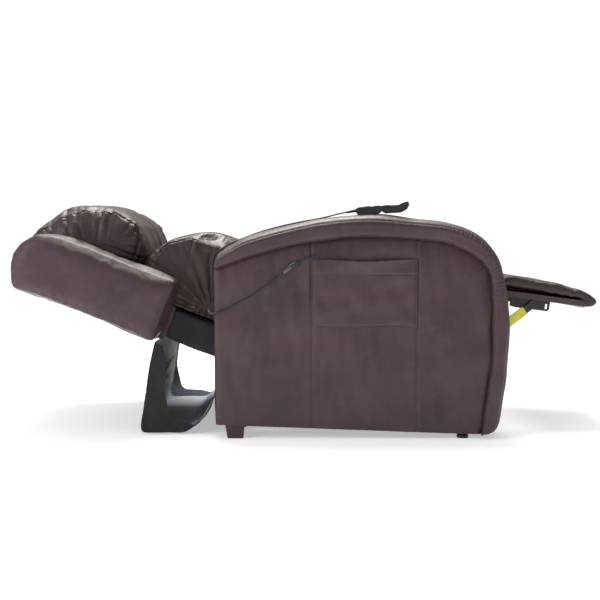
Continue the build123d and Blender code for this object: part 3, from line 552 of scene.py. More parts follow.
# ---- camera and cords ----
SENSOR = 36.0                  # millimetres
FIELD_OF_VIEW = 34.75          # degrees
CAMERA_PITCH = -3.52           # degrees
lens = bpy.data.cameras.new("camera")
lens.sensor_width = SENSOR
lens.lens = SENSOR / 2 / math.tan(math.radians(FIELD_OF_VIEW / 2))
camera = bpy.data.objects.new("camera", lens)
scene.collection.objects.link(camera)
camera.location = (-0.0256, -3.195, 0.58)
camera.rotation_euler = (math.radians(90 + CAMERA_PITCH), 0.0, 0.0)
scene.camera = camera

MIDDLE = 0.025647              # the frame's origin, from the one that the cords' routes are given in
CORD_Y = -(PANEL_Y + 0.0064)


def free_cord(name, node, route, diameter):
    """A smooth round cord with the route's points as its control points, from its exit to its far end."""
    curve = bpy.data.curves.new(name, "CURVE")
    curve.dimensions = "3D"
    curve.bevel_depth = diameter / 2
    curve.bevel_resolution = 4
    curve.resolution_u = 16
    curve.use_fill_caps = True
    line = curve.splines.new("NURBS")
    line.points.add(len(route) - 1)
    for point, (x, y, z) in zip(line.points, route):
        point.co = (x - MIDDLE, y, z, 1.0)
    line.order_u = 3
    line.use_endpoint_u = True
    piece = bpy.data.objects.new(name, curve)
    scene.collection.objects.link(piece)
    curve.materials.append(CABLE)
    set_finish(piece, "cable")
    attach(piece, "chassis")
    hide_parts(node)
    x, y, z = route[0]


free_cord("harness_lead", "harness_cord", [
    (0.034, CORD_Y, 0.533), (0.022, CORD_Y, 0.533), (0.009, CORD_Y, 0.5284), (-0.003, CORD_Y, 0.520),
], diameter=0.006)
free_cord("handset_lead", "handset_cord", [
    (-0.04887, CORD_Y, 0.48788), (-0.07181, CORD_Y, 0.47182), (-0.107, CORD_Y, 0.443),
    (-0.146, CORD_Y, 0.418), (-0.189, CORD_Y, 0.394), (-0.226, CORD_Y - 0.001, 0.377),
    (-0.254, CORD_Y - 0.002, 0.368), (-0.2665, CORD_Y + 0.009, 0.370), (-0.270, CORD_Y + 0.026, 0.384),
    (-0.267, CORD_Y + 0.042, 0.408), (-0.263, CORD_Y + 0.055, 0.442), (-0.260, CORD_Y + 0.062, 0.482),
    (-0.2585, -0.350, 0.518), (-0.2535, -0.348, 0.541), (-0.238, -CREST_Y, 0.553),
    (-0.207, -CREST_Y, 0.5715), (-0.164, -CREST_Y, 0.5905), (-0.112, -CREST_Y, 0.6095),
    (-0.056, -CREST_Y, 0.6245), (0.0, -CREST_Y, 0.6365), (0.050, -CREST_Y, 0.6455),
    (0.084, -CREST_Y, 0.652), (0.11304, -CREST_Y, 0.66049), (0.13668, -CREST_Y, 0.66466),
], diameter=0.0045)

# ---- finishes of the carried-over pieces ----
slot_of = {subpart["node"]: subpart["material_slot"] for subpart in frame["record"]["subparts"]}
for name, node in frame["nodes"].items():
    node.data.materials.clear()
    node.data.materials.append(FINISHES[slot_of[name]])

# ---- arms ----
CROWN = [
    (REAR, REAR_TOP), (REAR + 0.010, TOP - 0.114), (REAR + 0.046, TOP - 0.088),
    (REAR + 0.101, TOP - 0.060), (REAR + 0.245, TOP - 0.021), (REAR + 0.407, TOP),
    (FRONT - 0.249, TOP - 0.012), (FRONT - 0.171, TOP - 0.025), (FRONT - 0.112, TOP - 0.045),
    (FRONT - 0.068, TOP - 0.075), (FRONT - 0.032, TOP - 0.130), (FRONT - 0.014, TOP - 0.196),
    (FRONT - 0.001, TOP - 0.290), (FRONT, TOP - 0.376), (FRONT - 0.009, 0.156),
    (FRONT - 0.020, 0.075), (FRONT - 0.029, 0.034), (FRONT - 0.048, 0.0155),
    (FRONT - 0.075, arm_bottom(FRONT - 0.075)), (FRONT - 0.088, arm_bottom(FRONT - 0.088)),
]
INSIDE = [
    (REAR - 0.030, INSIDE_TOP - 0.102), (REAR + 0.006, INSIDE_TOP - 0.092),
    (REAR + 0.106, INSIDE_TOP - 0.056), (REAR + 0.215, INSIDE_TOP - 0.028),
    (REAR + 0.316, INSIDE_TOP - 0.010), (REAR + 0.437, INSIDE_TOP),
    (EDGE - 0.166, INSIDE_TOP - 0.013), (EDGE - 0.100, INSIDE_TOP - 0.031),
    (EDGE - 0.057, INSIDE_TOP - 0.053), (EDGE - 0.027, INSIDE_TOP - 0.080),
    (EDGE - 0.009, INSIDE_TOP - 0.122), (EDGE - 0.003, INSIDE_TOP - 0.194),
    (EDGE, INSIDE_TOP - 0.315), (EDGE - 0.006, 0.186), (EDGE - 0.021, 0.084), (EDGE - 0.038, -0.020),
]
# The roll's section: share of the way from the inner seam to the outline, and share of the half width.
ROLL_SECTION = [
    (-0.04, -0.78), (0.02, -0.90), (0.12, -0.968), (0.32, -0.992), (0.56, -0.992), (0.69, -0.970),
    (0.745, -0.945), (0.80, -0.90), (0.905, -0.72), (0.972, -0.45), (1.0, -0.14), (1.0, 0.14),
    (0.972, 0.45), (0.905, 0.72), (0.80, 0.90), (0.745, 0.945), (0.69, 0.970), (0.50, 0.985),
    (0.25, 0.985), (0.06, 0.965), (-0.04, 0.86),
]
EDGE_SEAM = 0.745              # where the roll's edge seam is, as a share of its section
ON_CREST = (360, 46)           # a point of the roll's grid on the arm's top, whose normal faces up
arm_inner_line = smooth_line(INSIDE, 1600)
arm_inner_line = arm_inner_line[(arm_inner_line[:, 0] > REAR + 0.001) & (arm_inner_line[:, 1] > 0.012)]


def corner_share(x, z):
    """How near a point is to the arm's front top corner, where the leather is gathered."""
    return bell(x - (FRONT - 0.075), 0.10) * bell(z - (TOP - 0.10), 0.13)


def arm_roll(name, seed):
    """The padded roll over an arm's top and down its front, with its two edge seams."""
    outline = smooth_line(CROWN, 860)
    square = ((outline[:, None] - arm_inner_line[None]) ** 2).sum(axis=2)
    inner = arm_inner_line[square.argmin(axis=1)]
    for _ in range(12):
        inner[1:-1] = 0.5 * inner[1:-1] + 0.25 * (inner[:-2] + inner[2:])
    section = smooth_line([(share * ROLL, half * ARM_WIDTH / 2) for share, half in ROLL_SECTION], 92)
    share, y = section[:, 0] / ROLL, section[:, 1] - CREST_Y
    grid = np.empty((len(outline), len(share), 3))
    grid[:, :, [0, 2]] = inner[:, None] + share[None, :, None] * (outline - inner)[:, None]
    grid[:, :, 1] = y
    normal = grid_normals(grid)
    normal *= np.sign(normal[ON_CREST][2])
    along = run_of(outline)
    x, z = grid[:, :, 0], grid[:, :, 2]
    near_corner = corner_share(x, z)
    thickness = np.linalg.norm(outline - inner, axis=1)[:, None]
    from_edge_seam = (share[None, :] - EDGE_SEAM) * thickness
    from_inner_seam = np.maximum(share[None, :], 0.0) * thickness
    low = from_edge_seam < 0
    ticks = pleats(along, 0.0115, seed)[:, None]
    wide = pleats(along + 0.004, 0.019, seed + 3)[:, None]
    height = 0.0008 + 0.0050 * near_corner
    offset = height * ticks * np.exp(-np.abs(from_edge_seam) / 0.013) * np.where(low, 1.0, 0.35)
    offset += (0.0004 + 0.0018 * near_corner) * wide * np.exp(-from_inner_seam / 0.018)
    offset -= 0.0020 * bell(from_edge_seam, 0.0028)
    offset += np.where(low, 0.0010, 0.0006) * bell(np.abs(from_edge_seam) - 0.010, 0.008)
    flat = grid.reshape(-1, 3)
    offset = offset + 0.0013 * waves(flat, 0.13, seed + 7).reshape(offset.shape)
    grid += normal * offset[..., None]
    on_top = np.clip(share[None, :] - 0.5, 0.0, 0.5) * 2
    grid[..., 2] += 0.0070 * on_top * bell(grid[..., 0] - HANDSET_X, 0.080)
    faces = list(map(tuple, grid_faces(*grid.shape[:2])))
    count = len(share)
    last = (len(outline) - 1) * count
    faces += [tuple(range(count)), tuple(range(last, last + count))[::-1]]
    piece = new_piece(name, grid.reshape(-1, 3), faces, LEATHER, "leather")
    return piece


def coons(bottom, top, left, right):
    """A grid that fills four meeting edges; bottom and top run one way, left and right the other."""
    u = np.linspace(0, 1, len(bottom))[None, :, None]
    v = np.linspace(0, 1, len(left))[:, None, None]
    plain = (1 - v) * bottom[None] + v * top[None] + (1 - u) * left[:, None] + u * right[:, None]
    corners = ((1 - u) * (1 - v) * bottom[0] + u * (1 - v) * bottom[-1] + (1 - u) * v * top[0]
               + u * v * top[-1])
    return plain - corners


def panel_grid(columns, rows):
    """Points over an arm's side panel in X and Z, and their distances from its edges."""
    corner = np.abs(arm_inner_line - np.array([EDGE - 0.040, INSIDE_TOP - 0.066])).sum(axis=1).argmin()
    top = even(arm_inner_line[:corner + 1], columns)
    right = even(arm_inner_line[corner:][::-1], rows)
    foot = np.array([[REAR + 0.005, arm_bottom(REAR)], right[0]])
    bottom = even(foot, columns)
    left = even(np.array([foot[0], top[0]]), rows)
    grid = coons(bottom, top, left, right)
    gap = {}
    for edge, line in (("roll", arm_inner_line), ("foot", bottom), ("rear", left)):
        gap[edge] = nearest(line, grid.reshape(-1, 2), closed=False)[0].reshape(grid.shape[:2])
    return grid, gap


def arm_panel(name, y, outwards, columns, rows, seams, seed):
    """A padded side panel: it dips into its seams, and is gathered along the roll's corner."""
    flat, gap = panel_grid(columns, rows)
    x, z = flat[..., 0], flat[..., 1]
    along = nearest(arm_inner_line, flat.reshape(-1, 2), closed=False)[1].reshape(x.shape)
    near_corner = corner_share(x, z)
    offset = (0.0075 + 0.0060 * near_corner) * (1 - np.exp(-gap["roll"] / (0.014 + 0.016 * near_corner)))
    offset -= 0.0055
    offset -= 0.003 * bell(gap["foot"], 0.012) + 0.004 * bell(gap["rear"], 0.008)
    ticks = pleats(along.ravel(), 0.0125, seed).reshape(x.shape)
    offset += (0.0005 + 0.0042 * near_corner) * ticks * np.exp(-np.abs(gap["roll"] - 0.006) / 0.015)
    for number, seam in enumerate(seams):
        wander = 0.0012 * np.sin(z * 9.0 + number)
        away = np.abs(x - seam - wander)
        offset -= 0.0026 * bell(away, 0.0032)
        offset += 0.0008 * bell(away - 0.010, 0.010)
        offset += 0.0005 * np.exp(-away / 0.010) * pleats(z.ravel(), 0.017, seed + number).reshape(x.shape)
    cloud = np.stack([x, z], axis=-1).reshape(-1, 2)
    offset += 0.0016 * waves(cloud, 0.17, seed + 9).reshape(x.shape)
    offset += 0.0007 * waves(cloud * (3.0, 1.0), 0.15, seed + 11).reshape(x.shape)
    grid = np.stack([x, np.full(x.shape, y) + outwards * offset, z], axis=-1)
    faces = grid_faces(rows, columns)
    if outwards > 0:
        faces = faces[:, ::-1]
    piece = new_piece(name, grid.reshape(-1, 3), faces, LEATHER, "leather")
    return piece


def arm_rear_panel(name, seed):
    """The leather that closes an arm's rear between its side panels."""
    rows, columns = 90, 34
    z = np.linspace(arm_bottom(REAR) + 0.001, REAR_TOP - 0.002, rows)[:, None]
    across = np.linspace(-1.0, 1.0, columns)[None, :]
    y = -CREST_Y + across * (PANEL_Y - CREST_Y - 0.002) * np.where(across < 0, 1.0, 1.15)
    grid = np.empty((rows, columns, 3))
    grid[..., 0] = REAR + 0.006 - 0.008 * (1 - np.abs(across) ** 5)
    grid[..., 1], grid[..., 2] = y, z
    cloud = grid.reshape(-1, 3)
    grid[..., 0] += 0.0012 * waves(cloud, 0.10, seed).reshape(rows, columns)
    return new_piece(name, cloud, grid_faces(rows, columns)[:, ::-1], LEATHER, "leather")


def arm_underside(name):
    """The dust cloth under an arm."""
    x = np.linspace(REAR + 0.004, FRONT - 0.075, 40)[None, :]
    y = np.linspace(-PANEL_Y + 0.004, -INNER_Y - 0.004, 12)[:, None]
    grid = np.empty((12, 40, 3))
    grid[..., 0], grid[..., 1] = x, y
    grid[..., 2] = arm_bottom(x) + 0.0015 + 0.001 * np.sin(x * 40.0) * np.sin(y * 50.0)
    return new_piece(name, grid.reshape(-1, 3), grid_faces(12, 40)[:, ::-1], DUST_CLOTH, "back_cloth")


right_arm = [
    arm_roll("right_arm_roll", 11),
    arm_panel("right_arm_outer_panel", -PANEL_Y - 0.001, -1, 300, 190, SEAMS_X, 21),
    arm_panel("right_arm_inner_panel", -INNER_Y - 0.003, 1, 150, 95, (), 31),
    arm_rear_panel("right_arm_rear_panel", 41),
    arm_underside("right_arm_dust_cloth"),
]
left_arm = [mirrored(piece, piece.name.replace("right", "left")) for piece in right_arm]
for piece in right_arm + left_arm:
    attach(piece, "chassis")
for piece, node in zip(right_arm, ("arm_rolls", "arm_outer_panels", "arm_inner_panels")):
    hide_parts(node)


def pocket():
    """The magazine pocket: one skin of leather sewn down on three sides, with a hem at its mouth."""
    columns, rows = 130, 90
    u, v = np.meshgrid(np.linspace(0, 1, columns), np.linspace(0, 1, rows))
    left, right = SEAMS_X
    x = left + u * (right - left)
    mouth = pocket_high.z + 0.003 - 0.004 * np.sin(math.pi * u) + 0.0015 * np.sin(u * 9.0)
    z = pocket_low.z + 0.001 + v * (mouth - pocket_low.z - 0.001)
    sewn = np.minimum(np.minimum(u, 1 - u) * (right - left), v * (mouth - pocket_low.z))
    slack = 1 - np.exp(-sewn / 0.010)
    fullness = 0.0035 + 0.0085 * v**3 * np.sin(math.pi * u) ** 0.6
    offset = 0.0028 - 0.0022 * bell(sewn - 0.0045, 0.0020) + slack * fullness
    cloud = np.stack([x, z], axis=-1).reshape(-1, 2)
    offset += slack * 0.0014 * waves(cloud, 0.085, 61).reshape(u.shape)
    offset += 0.0008 * np.exp(-sewn / 0.008) * pleats((x + z).ravel(), 0.016, 62).reshape(u.shape)
    hem = pocket_high.z - 0.040
    offset += 0.0011 / (1 + np.exp(-(z - hem) / 0.0012)) - 0.0012 * bell(z - hem, 0.002)
    outer = np.stack([x, -PANEL_Y - offset - 0.0016, z], axis=-1)
    inner = np.stack([x, -PANEL_Y - np.maximum(offset - 0.0022, 0.0006) - 0.0004, z], axis=-1)
    count = columns * rows
    faces = list(map(tuple, grid_faces(rows, columns)))
    faces += [tuple(int(i) + count for i in f[::-1]) for f in faces]
    rim = [j for j in range(columns)] + [columns * (i + 1) - 1 for i in range(1, rows)]
    rim += [count - 1 - j for j in range(1, columns)] + [columns * i for i in range(rows - 2, 0, -1)]
    faces += [(a, a + count, b + count, b) for a, b in zip(rim, rim[1:] + rim[:1])]
    vertices = np.vstack([outer.reshape(-1, 3), inner.reshape(-1, 3)])
    piece = new_piece("side_pocket_leather", vertices, faces, LEATHER, "leather")
    row = int((hem - pocket_low.z) / (pocket_high.z - pocket_low.z) * (rows - 1))
    thread = stitches("pocket_hem_stitches", outer[row, 3:-3] - (0, 0.0004, 0), 0.0042, 0.0022, 0.0006,
                      THREAD, "leather")
    return piece, thread


pocket_skin, pocket_thread = pocket()
for piece in (pocket_skin, pocket_thread):
    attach(piece, "chassis")
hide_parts("side_pocket")

# ---- back ----
WING_OUTLINE = [
    (WING_START, 0.044), (WING_START, -0.150), (WING_START + 0.012, -0.159), (0.520, -0.162),
    (BACK_LENGTH - 0.042, -0.163), (BACK_LENGTH - 0.026, -0.146), (BACK_LENGTH - 0.006, -0.099),
    (BACK_LENGTH, -0.060), (BACK_LENGTH - 0.014, -0.014), (BACK_LENGTH - 0.050, 0.030),
    (BACK_LENGTH - 0.120, 0.050), (0.590, 0.058), (0.490, 0.056), (WING_START + 0.080, 0.055),
    (WING_START + 0.012, 0.052),
]
HEAD_START = LUMBAR_END + 0.005
HEAD_END = BACK_LENGTH + 0.004
HEADREST_OUTLINE = [
    (HEAD_END, -0.060), (HEAD_END - 0.006, -0.104), (HEAD_START, -0.104), (HEAD_START, 0.070),
    (HEAD_START + 0.004, 0.122), (HEAD_START + 0.044, 0.170), (HEAD_START + 0.125, 0.186),
    (HEAD_START + 0.230, 0.154), (HEAD_END - 0.060, 0.098), (HEAD_END - 0.014, 0.032),
]
LUMBAR_OUTLINE = [
    (LUMBAR_END, 0.070), (LUMBAR_END, -0.048), (0.070, -0.048), (0.032, 0.030), (0.002, 0.062),
    (0.002, 0.140), (0.024, 0.186), (0.110, 0.206), (0.250, 0.207), (0.350, 0.194),
    (LUMBAR_END - 0.022, 0.142),
]


def back_ring(points, count=260):
    """An outline given along the back, as points in X and Z."""
    return closed_line([on_back(s, t) for s, t in points], count)


def behind_back(limit):
    """Marks the points that rest on the back's frame."""
    def held(points):
        return along_back(points)[1] < limit
    return held


def round_shoulder(piece, middle):
    """Draws a wing's outer face in towards its front edge, as soft padding lies there."""
    points = points_of(piece)
    front = along_back(points)[1]
    share = np.clip((front + 0.012) / 0.070, 0.0, 1.0) ** 2
    points[:, 1] = np.where(points[:, 1] < middle, points[:, 1] + 0.012 * share, points[:, 1])
    set_points(piece, points)


def wing(name, seed):
    """The right-hand side wing: a firm pillow with a boxing seam round its outer face."""
    ring = back_ring(WING_OUTLINE)
    middle, half = -(WING_INNER + WING_OUTER) / 2, (WING_OUTER - WING_INNER) / 2
    piece = prism(name, shrunk(ring, 0.007), middle - half + 0.008, middle + half - 0.008,
                  LEATHER, "leather")
    inflate(piece, 0.006, 0.013)
    round_shoulder(piece, middle)
    gather(piece, ring, middle, half, seam=0.004, depth=0.0010, height=0.0007, reach=0.020,
           spacing=0.021, seed=seed, drift=0.0004)
    return piece


right_wing = wing("right_back_wing", 71)
left_wing = mirrored(right_wing, "left_back_wing")
for piece in (right_wing, left_wing):
    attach(piece, "back")
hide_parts("back_wings")


def pillow(name, outline, half, cap, inset, voxel, held):
    """A full cushion as wide as the seat, swollen from a smaller solid."""
    ring = back_ring(outline)
    piece = prism(name, shrunk(ring, inset), -half + inset, half - inset, LEATHER_SMOOTH, "leather")
    inflate(piece, voxel, cap, held)
    return piece, ring


def headrest():
    """The head pillow, gathered along its side seams and into the crevice above the lumbar one."""
    half = WING_INNER - 0.006
    piece, ring = pillow("headrest_pillow", HEADREST_OUTLINE, half, 0.022, 0.008, 0.006,
                         behind_back(-0.085))
    points, normals = points_of(piece), normals_of(piece)
    s, t = along_back(points)
    crevice = np.exp(-np.maximum(s - HEAD_START, 0) / 0.060) * (t > 0.02)
    offset = 0.0055 * crevice * pleats(points[:, 1] + 0.25 * (s - HEAD_START), 0.026, 83)
    fan = np.exp(-np.maximum(HEAD_END - s, 0) / 0.070) * (t > -0.02)
    offset += 0.0030 * fan * pleats(points[:, 1], 0.034, 85)
    offset += 0.0030 * waves(points, 0.16, 87)
    set_points(piece, points + normals * offset[:, None])
    gather(piece, ring, 0.0, half, seam=0.024, depth=0.0050, height=0.0075, reach=0.055,
           spacing=0.026, seed=88)
    return piece


def lumbar():
    """The lumbar pillow, with deep folds at its sides where the nose tucks under."""
    half = CUSHION_HALF - 0.002
    piece, ring = pillow("lumbar_pillow", LUMBAR_OUTLINE, half, 0.022, 0.008, 0.006,
                         behind_back(-0.02))
    points = points_of(piece)
    over = np.maximum(np.abs(points[:, 1]) - half + 0.008, 0.0)
    points[:, 1] -= np.sign(points[:, 1]) * over * 0.75
    set_points(piece, points)
    normals = normals_of(piece)
    s, t = along_back(points)
    offset = 0.0050 * np.exp(-np.maximum(LUMBAR_END - s, 0) / 0.045) * (t > 0.02) * pleats(
        points[:, 1], 0.028, 93)
    on_side = np.clip((np.abs(normals[:, 1]) - 0.4) / 0.3, 0, 1)
    bearing = np.arctan2(t + 0.02, s - 0.190)
    reach = np.hypot(t + 0.02, s - 0.190)
    offset += on_side * bell(reach - 0.10, 0.085) * (0.0090 * pleats(bearing * 0.12, 0.034, 95) - 0.004)
    offset += 0.0030 * waves(points, 0.15, 97)
    set_points(piece, points + normals * offset[:, None])
    gather(piece, ring, 0.0, half, seam=0.022, depth=0.0045, height=0.0060, reach=0.050,
           spacing=0.027, seed=98)
    return piece


head_pillow, waist_pillow = headrest(), lumbar()
for piece, node in ((head_pillow, "headrest_cushion"), (waist_pillow, "lumbar_cushion")):
    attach(piece, "back")
    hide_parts(node)


REAR_COVER_LINE = [
    (0.324, -0.060), (0.316, -0.110), (0.319, -0.148), (0.345, -0.160), (0.550, -0.164),
    (0.740, -0.166), (0.778, -0.160), (0.796, -0.137), (0.800, -0.105), (0.786, -0.085),
]


def rear_cover():
    """The leather on the rear of the upper back, wrapped over the head end."""
    columns, rows = 130, 170
    line = smooth_line(REAR_COVER_LINE, rows)
    u = np.linspace(-1, 1, columns)[None, :]
    y = np.repeat(u * (WING_INNER + 0.001), rows, axis=0)
    s, t = np.repeat(line[:, :1], columns, axis=1), np.repeat(line[:, 1:], columns, axis=1)
    edge = (1 - np.abs(u)) * WING_INNER
    cloud = np.stack([s, y, t], axis=-1).reshape(-1, 3)
    puff = 0.003 * np.exp(-edge / 0.012) + 0.0010 * waves(cloud, 0.14, 103).reshape(s.shape)
    puff = puff - 0.0007 * np.exp(-edge / 0.012) * pleats((s + t).ravel(), 0.020, 104).reshape(s.shape)
    t = t + puff * np.clip(-t / 0.16, 0, 1)
    x, z = on_back(s, t)
    grid = np.stack([x, y, z], axis=-1)
    piece = new_piece("back_rear_leather", grid.reshape(-1, 3), grid_faces(rows, columns)[:, ::-1],
                      LEATHER, "leather")
    return piece


cover = rear_cover()
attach(cover, "back")
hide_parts("back_rear_panel")


def covered_board(name, ring, half, finish, slot, seed, swell):
    """A board wrapped in stretched cloth, with soft edges and a seam round each end."""
    piece = prism(name, shrunk(ring, swell), -half + swell, half - swell, finish, slot)
    apply(piece, "REMESH", mode="VOXEL", voxel_size=0.006)
    apply(piece, "SMOOTH", iterations=8)
    points, normals = points_of(piece), normals_of(piece)
    set_points(piece, points + normals * (swell + 0.0006 * waves(points, 0.07, seed))[:, None])
    gather(piece, ring, 0.0, half, seam=0.010, depth=0.0016, height=0.0006, reach=0.02,
           spacing=0.02, seed=seed)
    return piece


BOARD = [(0.060, -0.144), (0.303, -0.144), (0.303, -0.050), (0.060, -0.050)]
board_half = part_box("lower_back_board")[1].y
lower_board = covered_board("lower_back_cloth", back_ring(BOARD, 320), board_half, BACK_CLOTH,
                            "back_cloth", 111, 0.004)
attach(lower_board, "back")
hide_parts("lower_back_board")
BASE_RAIL = [(0.300, -0.150), (0.352, -0.150), (0.352, -0.040), (0.300, -0.040)]
rail_cover = covered_board("upper_back_cloth", back_ring(BASE_RAIL, 320), WING_INNER - 0.003,
                           BACK_CLOTH, "back_cloth", 115, 0.004)
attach(rail_cover, "back")

# ---- seat ----
seat_low, seat_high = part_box("seat_cushion")
SEAT_OUTLINE = [
    (seat_low.x + 0.034, seat_low.z), (seat_low.x + 0.002, seat_high.z - 0.030),
    (seat_low.x + 0.012, seat_high.z), (seat_low.x + 0.20, seat_high.z + 0.006),
    (seat_high.x - 0.060, seat_high.z), (seat_high.x - 0.012, seat_high.z - 0.014),
    (seat_high.x, seat_high.z - 0.050), (seat_high.x, seat_low.z),
]


def seat():
    """The seat cushion, crowned in the middle with a pulled channel across its front."""
    ring = closed_line(SEAT_OUTLINE, 260)
    piece = prism("seat_leather", shrunk(ring, 0.014), -CUSHION_HALF + 0.014, CUSHION_HALF - 0.014,
                  LEATHER_SMOOTH, "leather")
    inflate(piece, 0.007, 0.018, lambda p: p[:, 2] < seat_low.z + 0.03)
    points, normals = points_of(piece), normals_of(piece)
    channel = points[:, 0] - (seat_high.x - 0.095)
    upwards = np.clip(normals[:, 2], 0, 1)
    offset = upwards * (-0.004 * bell(channel, 0.006)
                        + 0.002 * np.exp(-np.abs(channel) / 0.03) * pleats(points[:, 1], 0.028, 123))
    offset += 0.0016 * waves(points, 0.16, 127)
    set_points(piece, points + normals * offset[:, None])
    gather(piece, ring, 0.0, CUSHION_HALF, seam=0.014, depth=0.003, height=0.002, reach=0.03,
           spacing=0.024, seed=128)
    return piece


seat_leather = seat()
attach(seat_leather, "chassis")
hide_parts("seat_cushion")

# ---- footrest ----
PAD_OUTLINE = [
    (0.161, 0.006), (0.158, 0.022), (0.142, 0.037), (0.05, 0.040), (-0.108, 0.043), (-0.108, 0.076),
    (-0.080, 0.083), (0.033, 0.079), (0.077, 0.076), (0.106, 0.069), (0.150, 0.065), (0.178, 0.055),
    (0.198, 0.042), (0.206, 0.030), (0.197, 0.014), (0.178, 0.005),
]
pad_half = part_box("ottoman_pad")[1].y


def ottoman():
    """The footrest pad, turned down over its board's front edge, with one sewn channel."""
    ring = closed_line([on_ottoman(x, z) for x, z in PAD_OUTLINE], 320)
    piece = prism("ottoman_leather", shrunk(ring, 0.005), -pad_half + 0.006, pad_half - 0.006,
                  LEATHER_SMOOTH, "leather")
    cos, sin = math.cos(OTTOMAN_ANGLE), math.sin(OTTOMAN_ANGLE)
    inflate(piece, 0.0055, 0.006)
    points, normals = points_of(piece), normals_of(piece)
    x = (points[:, 0] - OTTOMAN_PIVOT[0]) * cos - (points[:, 2] - OTTOMAN_PIVOT[2]) * sin
    upwards = np.clip(normals[:, 2], 0, 1)
    offset = np.zeros(len(points))
    for channel in (0.0, 0.120):
        offset += upwards * (-0.0030 * bell(x - channel, 0.005)
                             + 0.0014 * np.exp(-np.abs(x - channel) / 0.02)
                             * pleats(points[:, 1], 0.026, 133))
    offset += 0.0010 * waves(points, 0.12, 137)
    set_points(piece, points + normals * offset[:, None])
    return piece


foot_pad = ottoman()
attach(foot_pad, "ottoman")
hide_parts("ottoman_pad")


def bridge():
    """The short pad between the seat and the footrest, made in its laid-out shape only."""
    low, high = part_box("chaise_bridge")
    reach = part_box("ottoman_pad")[0].x - 0.008
    outline = [(low.x, low.z), (low.x, high.z - 0.004), (low.x + 0.012, high.z),
               (reach - 0.020, high.z - 0.006), (reach, high.z - 0.022), (reach - 0.006, low.z + 0.004)]
    piece = prism("chaise_leather", shrunk(closed_line(outline, 160), 0.004), -high.y + 0.004,
                  high.y - 0.004, LEATHER_SMOOTH, "leather")
    inflate(piece, 0.0055, 0.005)
    points, normals = points_of(piece), normals_of(piece)
    offset = 0.0012 * waves(points, 0.08, 143) + 0.0010 * pleats(points[:, 1], 0.03, 144)
    set_points(piece, points + normals * offset[:, None])
    return piece


bridge_pad = bridge()
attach(bridge_pad, "chassis")
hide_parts("chaise_bridge")
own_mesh(bridge_pad)

# ---- rear skirt ----
SKIRT_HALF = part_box("rear_skirt")[1].y
# Matched places on the sheet's own line and on its gussets' inner edges.
SKIRT_LINES = [
    (-0.434, 0.279, -0.408, 0.264), (-0.445, 0.235, -0.401, 0.222), (-0.455, 0.185, -0.404, 0.172),
    (-0.464, 0.125, -0.406, 0.128), (-0.471, 0.075, -0.398, 0.090), (-0.478, 0.032, -0.396, 0.060),
    (-0.474, 0.010, -0.386, 0.050), (-0.455, 0.0052, -0.376, 0.046), (-0.400, 0.0052, -0.350, 0.040),
    (-0.352, 0.0055, -0.322, 0.029), (-0.322, 0.021, -0.306, 0.038), (-0.298, 0.040, -0.288, 0.050),
    (-0.276, 0.075, -0.268, 0.080), (-0.258, 0.108, -0.256, 0.114),
]


def skirt(name, inwards, finish, slot):
    """One layer of the skirt: a sheet right across the chair with a gusset at each side."""
    lines = smooth_line(SKIRT_LINES, 150) - (MIDDLE, 0, MIDDLE, 0)
    sheet_line, gusset_line = lines[:, :2], lines[:, 2:]
    along = np.gradient(sheet_line, axis=0)
    along /= np.linalg.norm(along, axis=1)[:, None]
    normal = np.column_stack([-along[:, 1], along[:, 0]])
    sheet_line = sheet_line + normal * inwards
    columns = []
    for share in np.linspace(0, 1, 14)[:-1]:
        columns.append((-SKIRT_HALF + inwards, gusset_line + share * (sheet_line - gusset_line)))
    for y in np.linspace(-SKIRT_HALF + inwards, SKIRT_HALF - inwards, 120):
        columns.append((y, sheet_line))
    run = np.linspace(0, 1, len(lines))[:, None]
    far_width = np.interp(run[:, 0], (0.0, 0.30, 0.55, 1.0), (0.10, 0.12, 0.62, 0.8))
    for share in np.linspace(0, 1, 14)[1:]:
        columns.append((SKIRT_HALF - inwards,
                        sheet_line + share * far_width[:, None] * (gusset_line - sheet_line)))
    grid = np.empty((len(lines), len(columns), 3))
    for number, (y, line) in enumerate(columns):
        grid[:, number, 0], grid[:, number, 1], grid[:, number, 2] = line[:, 0], y, line[:, 1]
    inside = np.clip(1 - np.abs(grid[..., 1]) / (SKIRT_HALF - 0.004), 0, 1) ** 0.4
    sway = 0.012 * np.sin(grid[..., 1] * 7.0)
    creases = (0.0140 * bell(run + sway - 0.255, 0.014) + 0.0130 * bell(run - sway - 0.315, 0.016)
               + 0.0090 * bell(run + sway - 0.42, 0.020) + 0.007 * bell(run - 0.78, 0.02))
    flat = grid.reshape(-1, 3)
    drape = creases + 0.0022 * waves(flat * (0.3, 0.6, 2.2), 0.11, 151).reshape(creases.shape[0], -1)
    ends = np.clip(np.minimum(run, 1 - run) * 12, 0, 1)
    shift = inside * ends * np.maximum(drape, 0.0)
    grid[..., 0] += normal[:, :1] * shift
    grid[..., 2] += normal[:, 1:] * shift
    gusset = np.abs(grid[..., 1]) > SKIRT_HALF - inwards - 0.0005
    ripple = 0.004 * waves(grid.reshape(-1, 3), 0.09, 153).reshape(gusset.shape) - 0.003
    grid[..., 1] += np.where(gusset, -np.sign(grid[..., 1]) * np.maximum(-ripple, 0) * ends, 0)
    rows, count = grid.shape[:2]
    quads = grid_faces(rows, count)
    return new_piece(name, grid.reshape(-1, 3), quads if inwards else quads[:, ::-1], finish, slot)


skirt_cloth = skirt("skirt_cloth", 0.0, SKIRT_CLOTH, "skirt_cloth")
skirt_lining = skirt("skirt_lining", 0.0012, SKIRT_LINING, "skirt_cloth")
for piece in (skirt_cloth, skirt_lining):
    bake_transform(piece)
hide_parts("rear_skirt")

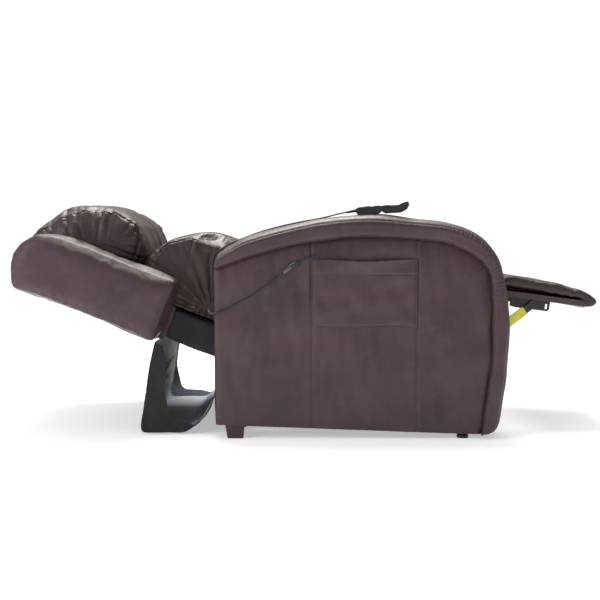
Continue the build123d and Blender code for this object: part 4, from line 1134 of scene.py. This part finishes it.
# ---- small pieces ----
def connector_latch():
    """The pale sliding latch on the connector's socket half."""
    angle = math.radians(215.0)
    start = np.array([-0.003 - MIDDLE, CORD_Y, 0.520])
    heading = np.array([math.cos(angle), 0.0, math.sin(angle)])
    upright = np.array([-heading[2], 0.0, heading[0]])
    outline = [(0.008, 0.0045), (0.010, 0.0078), (0.020, 0.0084), (0.031, 0.0082), (0.034, 0.0062),
               (0.034, 0.0045)]
    ring = [start + heading * a - upright * b for a, b in outline]
    piece = prism("connector_latch", [(x, z) for x, _, z in ring], CORD_Y - 0.0045, CORD_Y + 0.0045,
                  LATCH_PLASTIC, "latch_plastic")
    apply(piece, "BEVEL", width=0.0008, segments=2)
    return piece


latch = connector_latch()
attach(latch, "chassis")

# ---- floor and light ----
floor_mesh = bpy.data.meshes.new("floor")
floor_mesh.from_pydata([(-12, -12, 0), (12, -12, 0), (12, 12, 0), (-12, 12, 0)], [], [(0, 1, 2, 3)])
floor = bpy.data.objects.new("floor", floor_mesh)
scene.collection.objects.link(floor)
floor_finish = Finish("floor", 0.9)
floor_finish.shader.inputs["Base Color"].default_value = (0.86, 0.86, 0.87, 1.0)
floor_finish.shader.inputs["Emission Color"].default_value = (1.0, 1.0, 1.0, 1.0)
floor_finish.shader.inputs["Emission Strength"].default_value = 0.42
floor.data.materials.append(floor_finish.material)

world = bpy.data.worlds.new("studio")
world.use_nodes = True
background = world.node_tree.nodes["Background"]
background.inputs["Color"].default_value = (1.0, 1.0, 1.0, 1.0)
seen = world.node_tree.nodes.new("ShaderNodeMapRange")
seen.inputs["To Min"].default_value = 0.34
seen.inputs["To Max"].default_value = 1.1
light_path = world.node_tree.nodes.new("ShaderNodeLightPath")
world.node_tree.links.new(light_path.outputs["Is Camera Ray"], seen.inputs["Value"])
world.node_tree.links.new(seen.outputs["Result"], background.inputs["Strength"])
scene.world = world
scene.view_settings.view_transform = "Standard"


def area_light(name, place, target, size, power, tint):
    """A square soft light that the camera doesn't see."""
    lamp = bpy.data.lights.new(name, "AREA")
    lamp.shape, lamp.size, lamp.energy, lamp.color = "SQUARE", size, power, tint
    light = bpy.data.objects.new(name, lamp)
    scene.collection.objects.link(light)
    light.location = place
    light.visible_camera = False
    light.rotation_euler = (Vector(target) - Vector(place)).to_track_quat("-Z", "Y").to_euler()


area_light("overhead", (-0.2, 0.9, 3.2), (0.0, 0.1, 0.4), 1.8, 175.0, (1.0, 0.97, 0.90))
area_light("front_left", (-2.8, -2.2, 1.6), (-0.5, -0.3, 0.4), 1.4, 42.0, (0.95, 0.84, 1.0))
sky = bpy.data.lights.new("sky", "SUN")
sky.energy, sky.angle, sky.color = 1.25, math.radians(100), (1.0, 0.985, 0.96)
sky_light = bpy.data.objects.new("sky", sky)
scene.collection.objects.link(sky_light)
sky_light.rotation_euler = (math.radians(-14), math.radians(-8), 0.0)
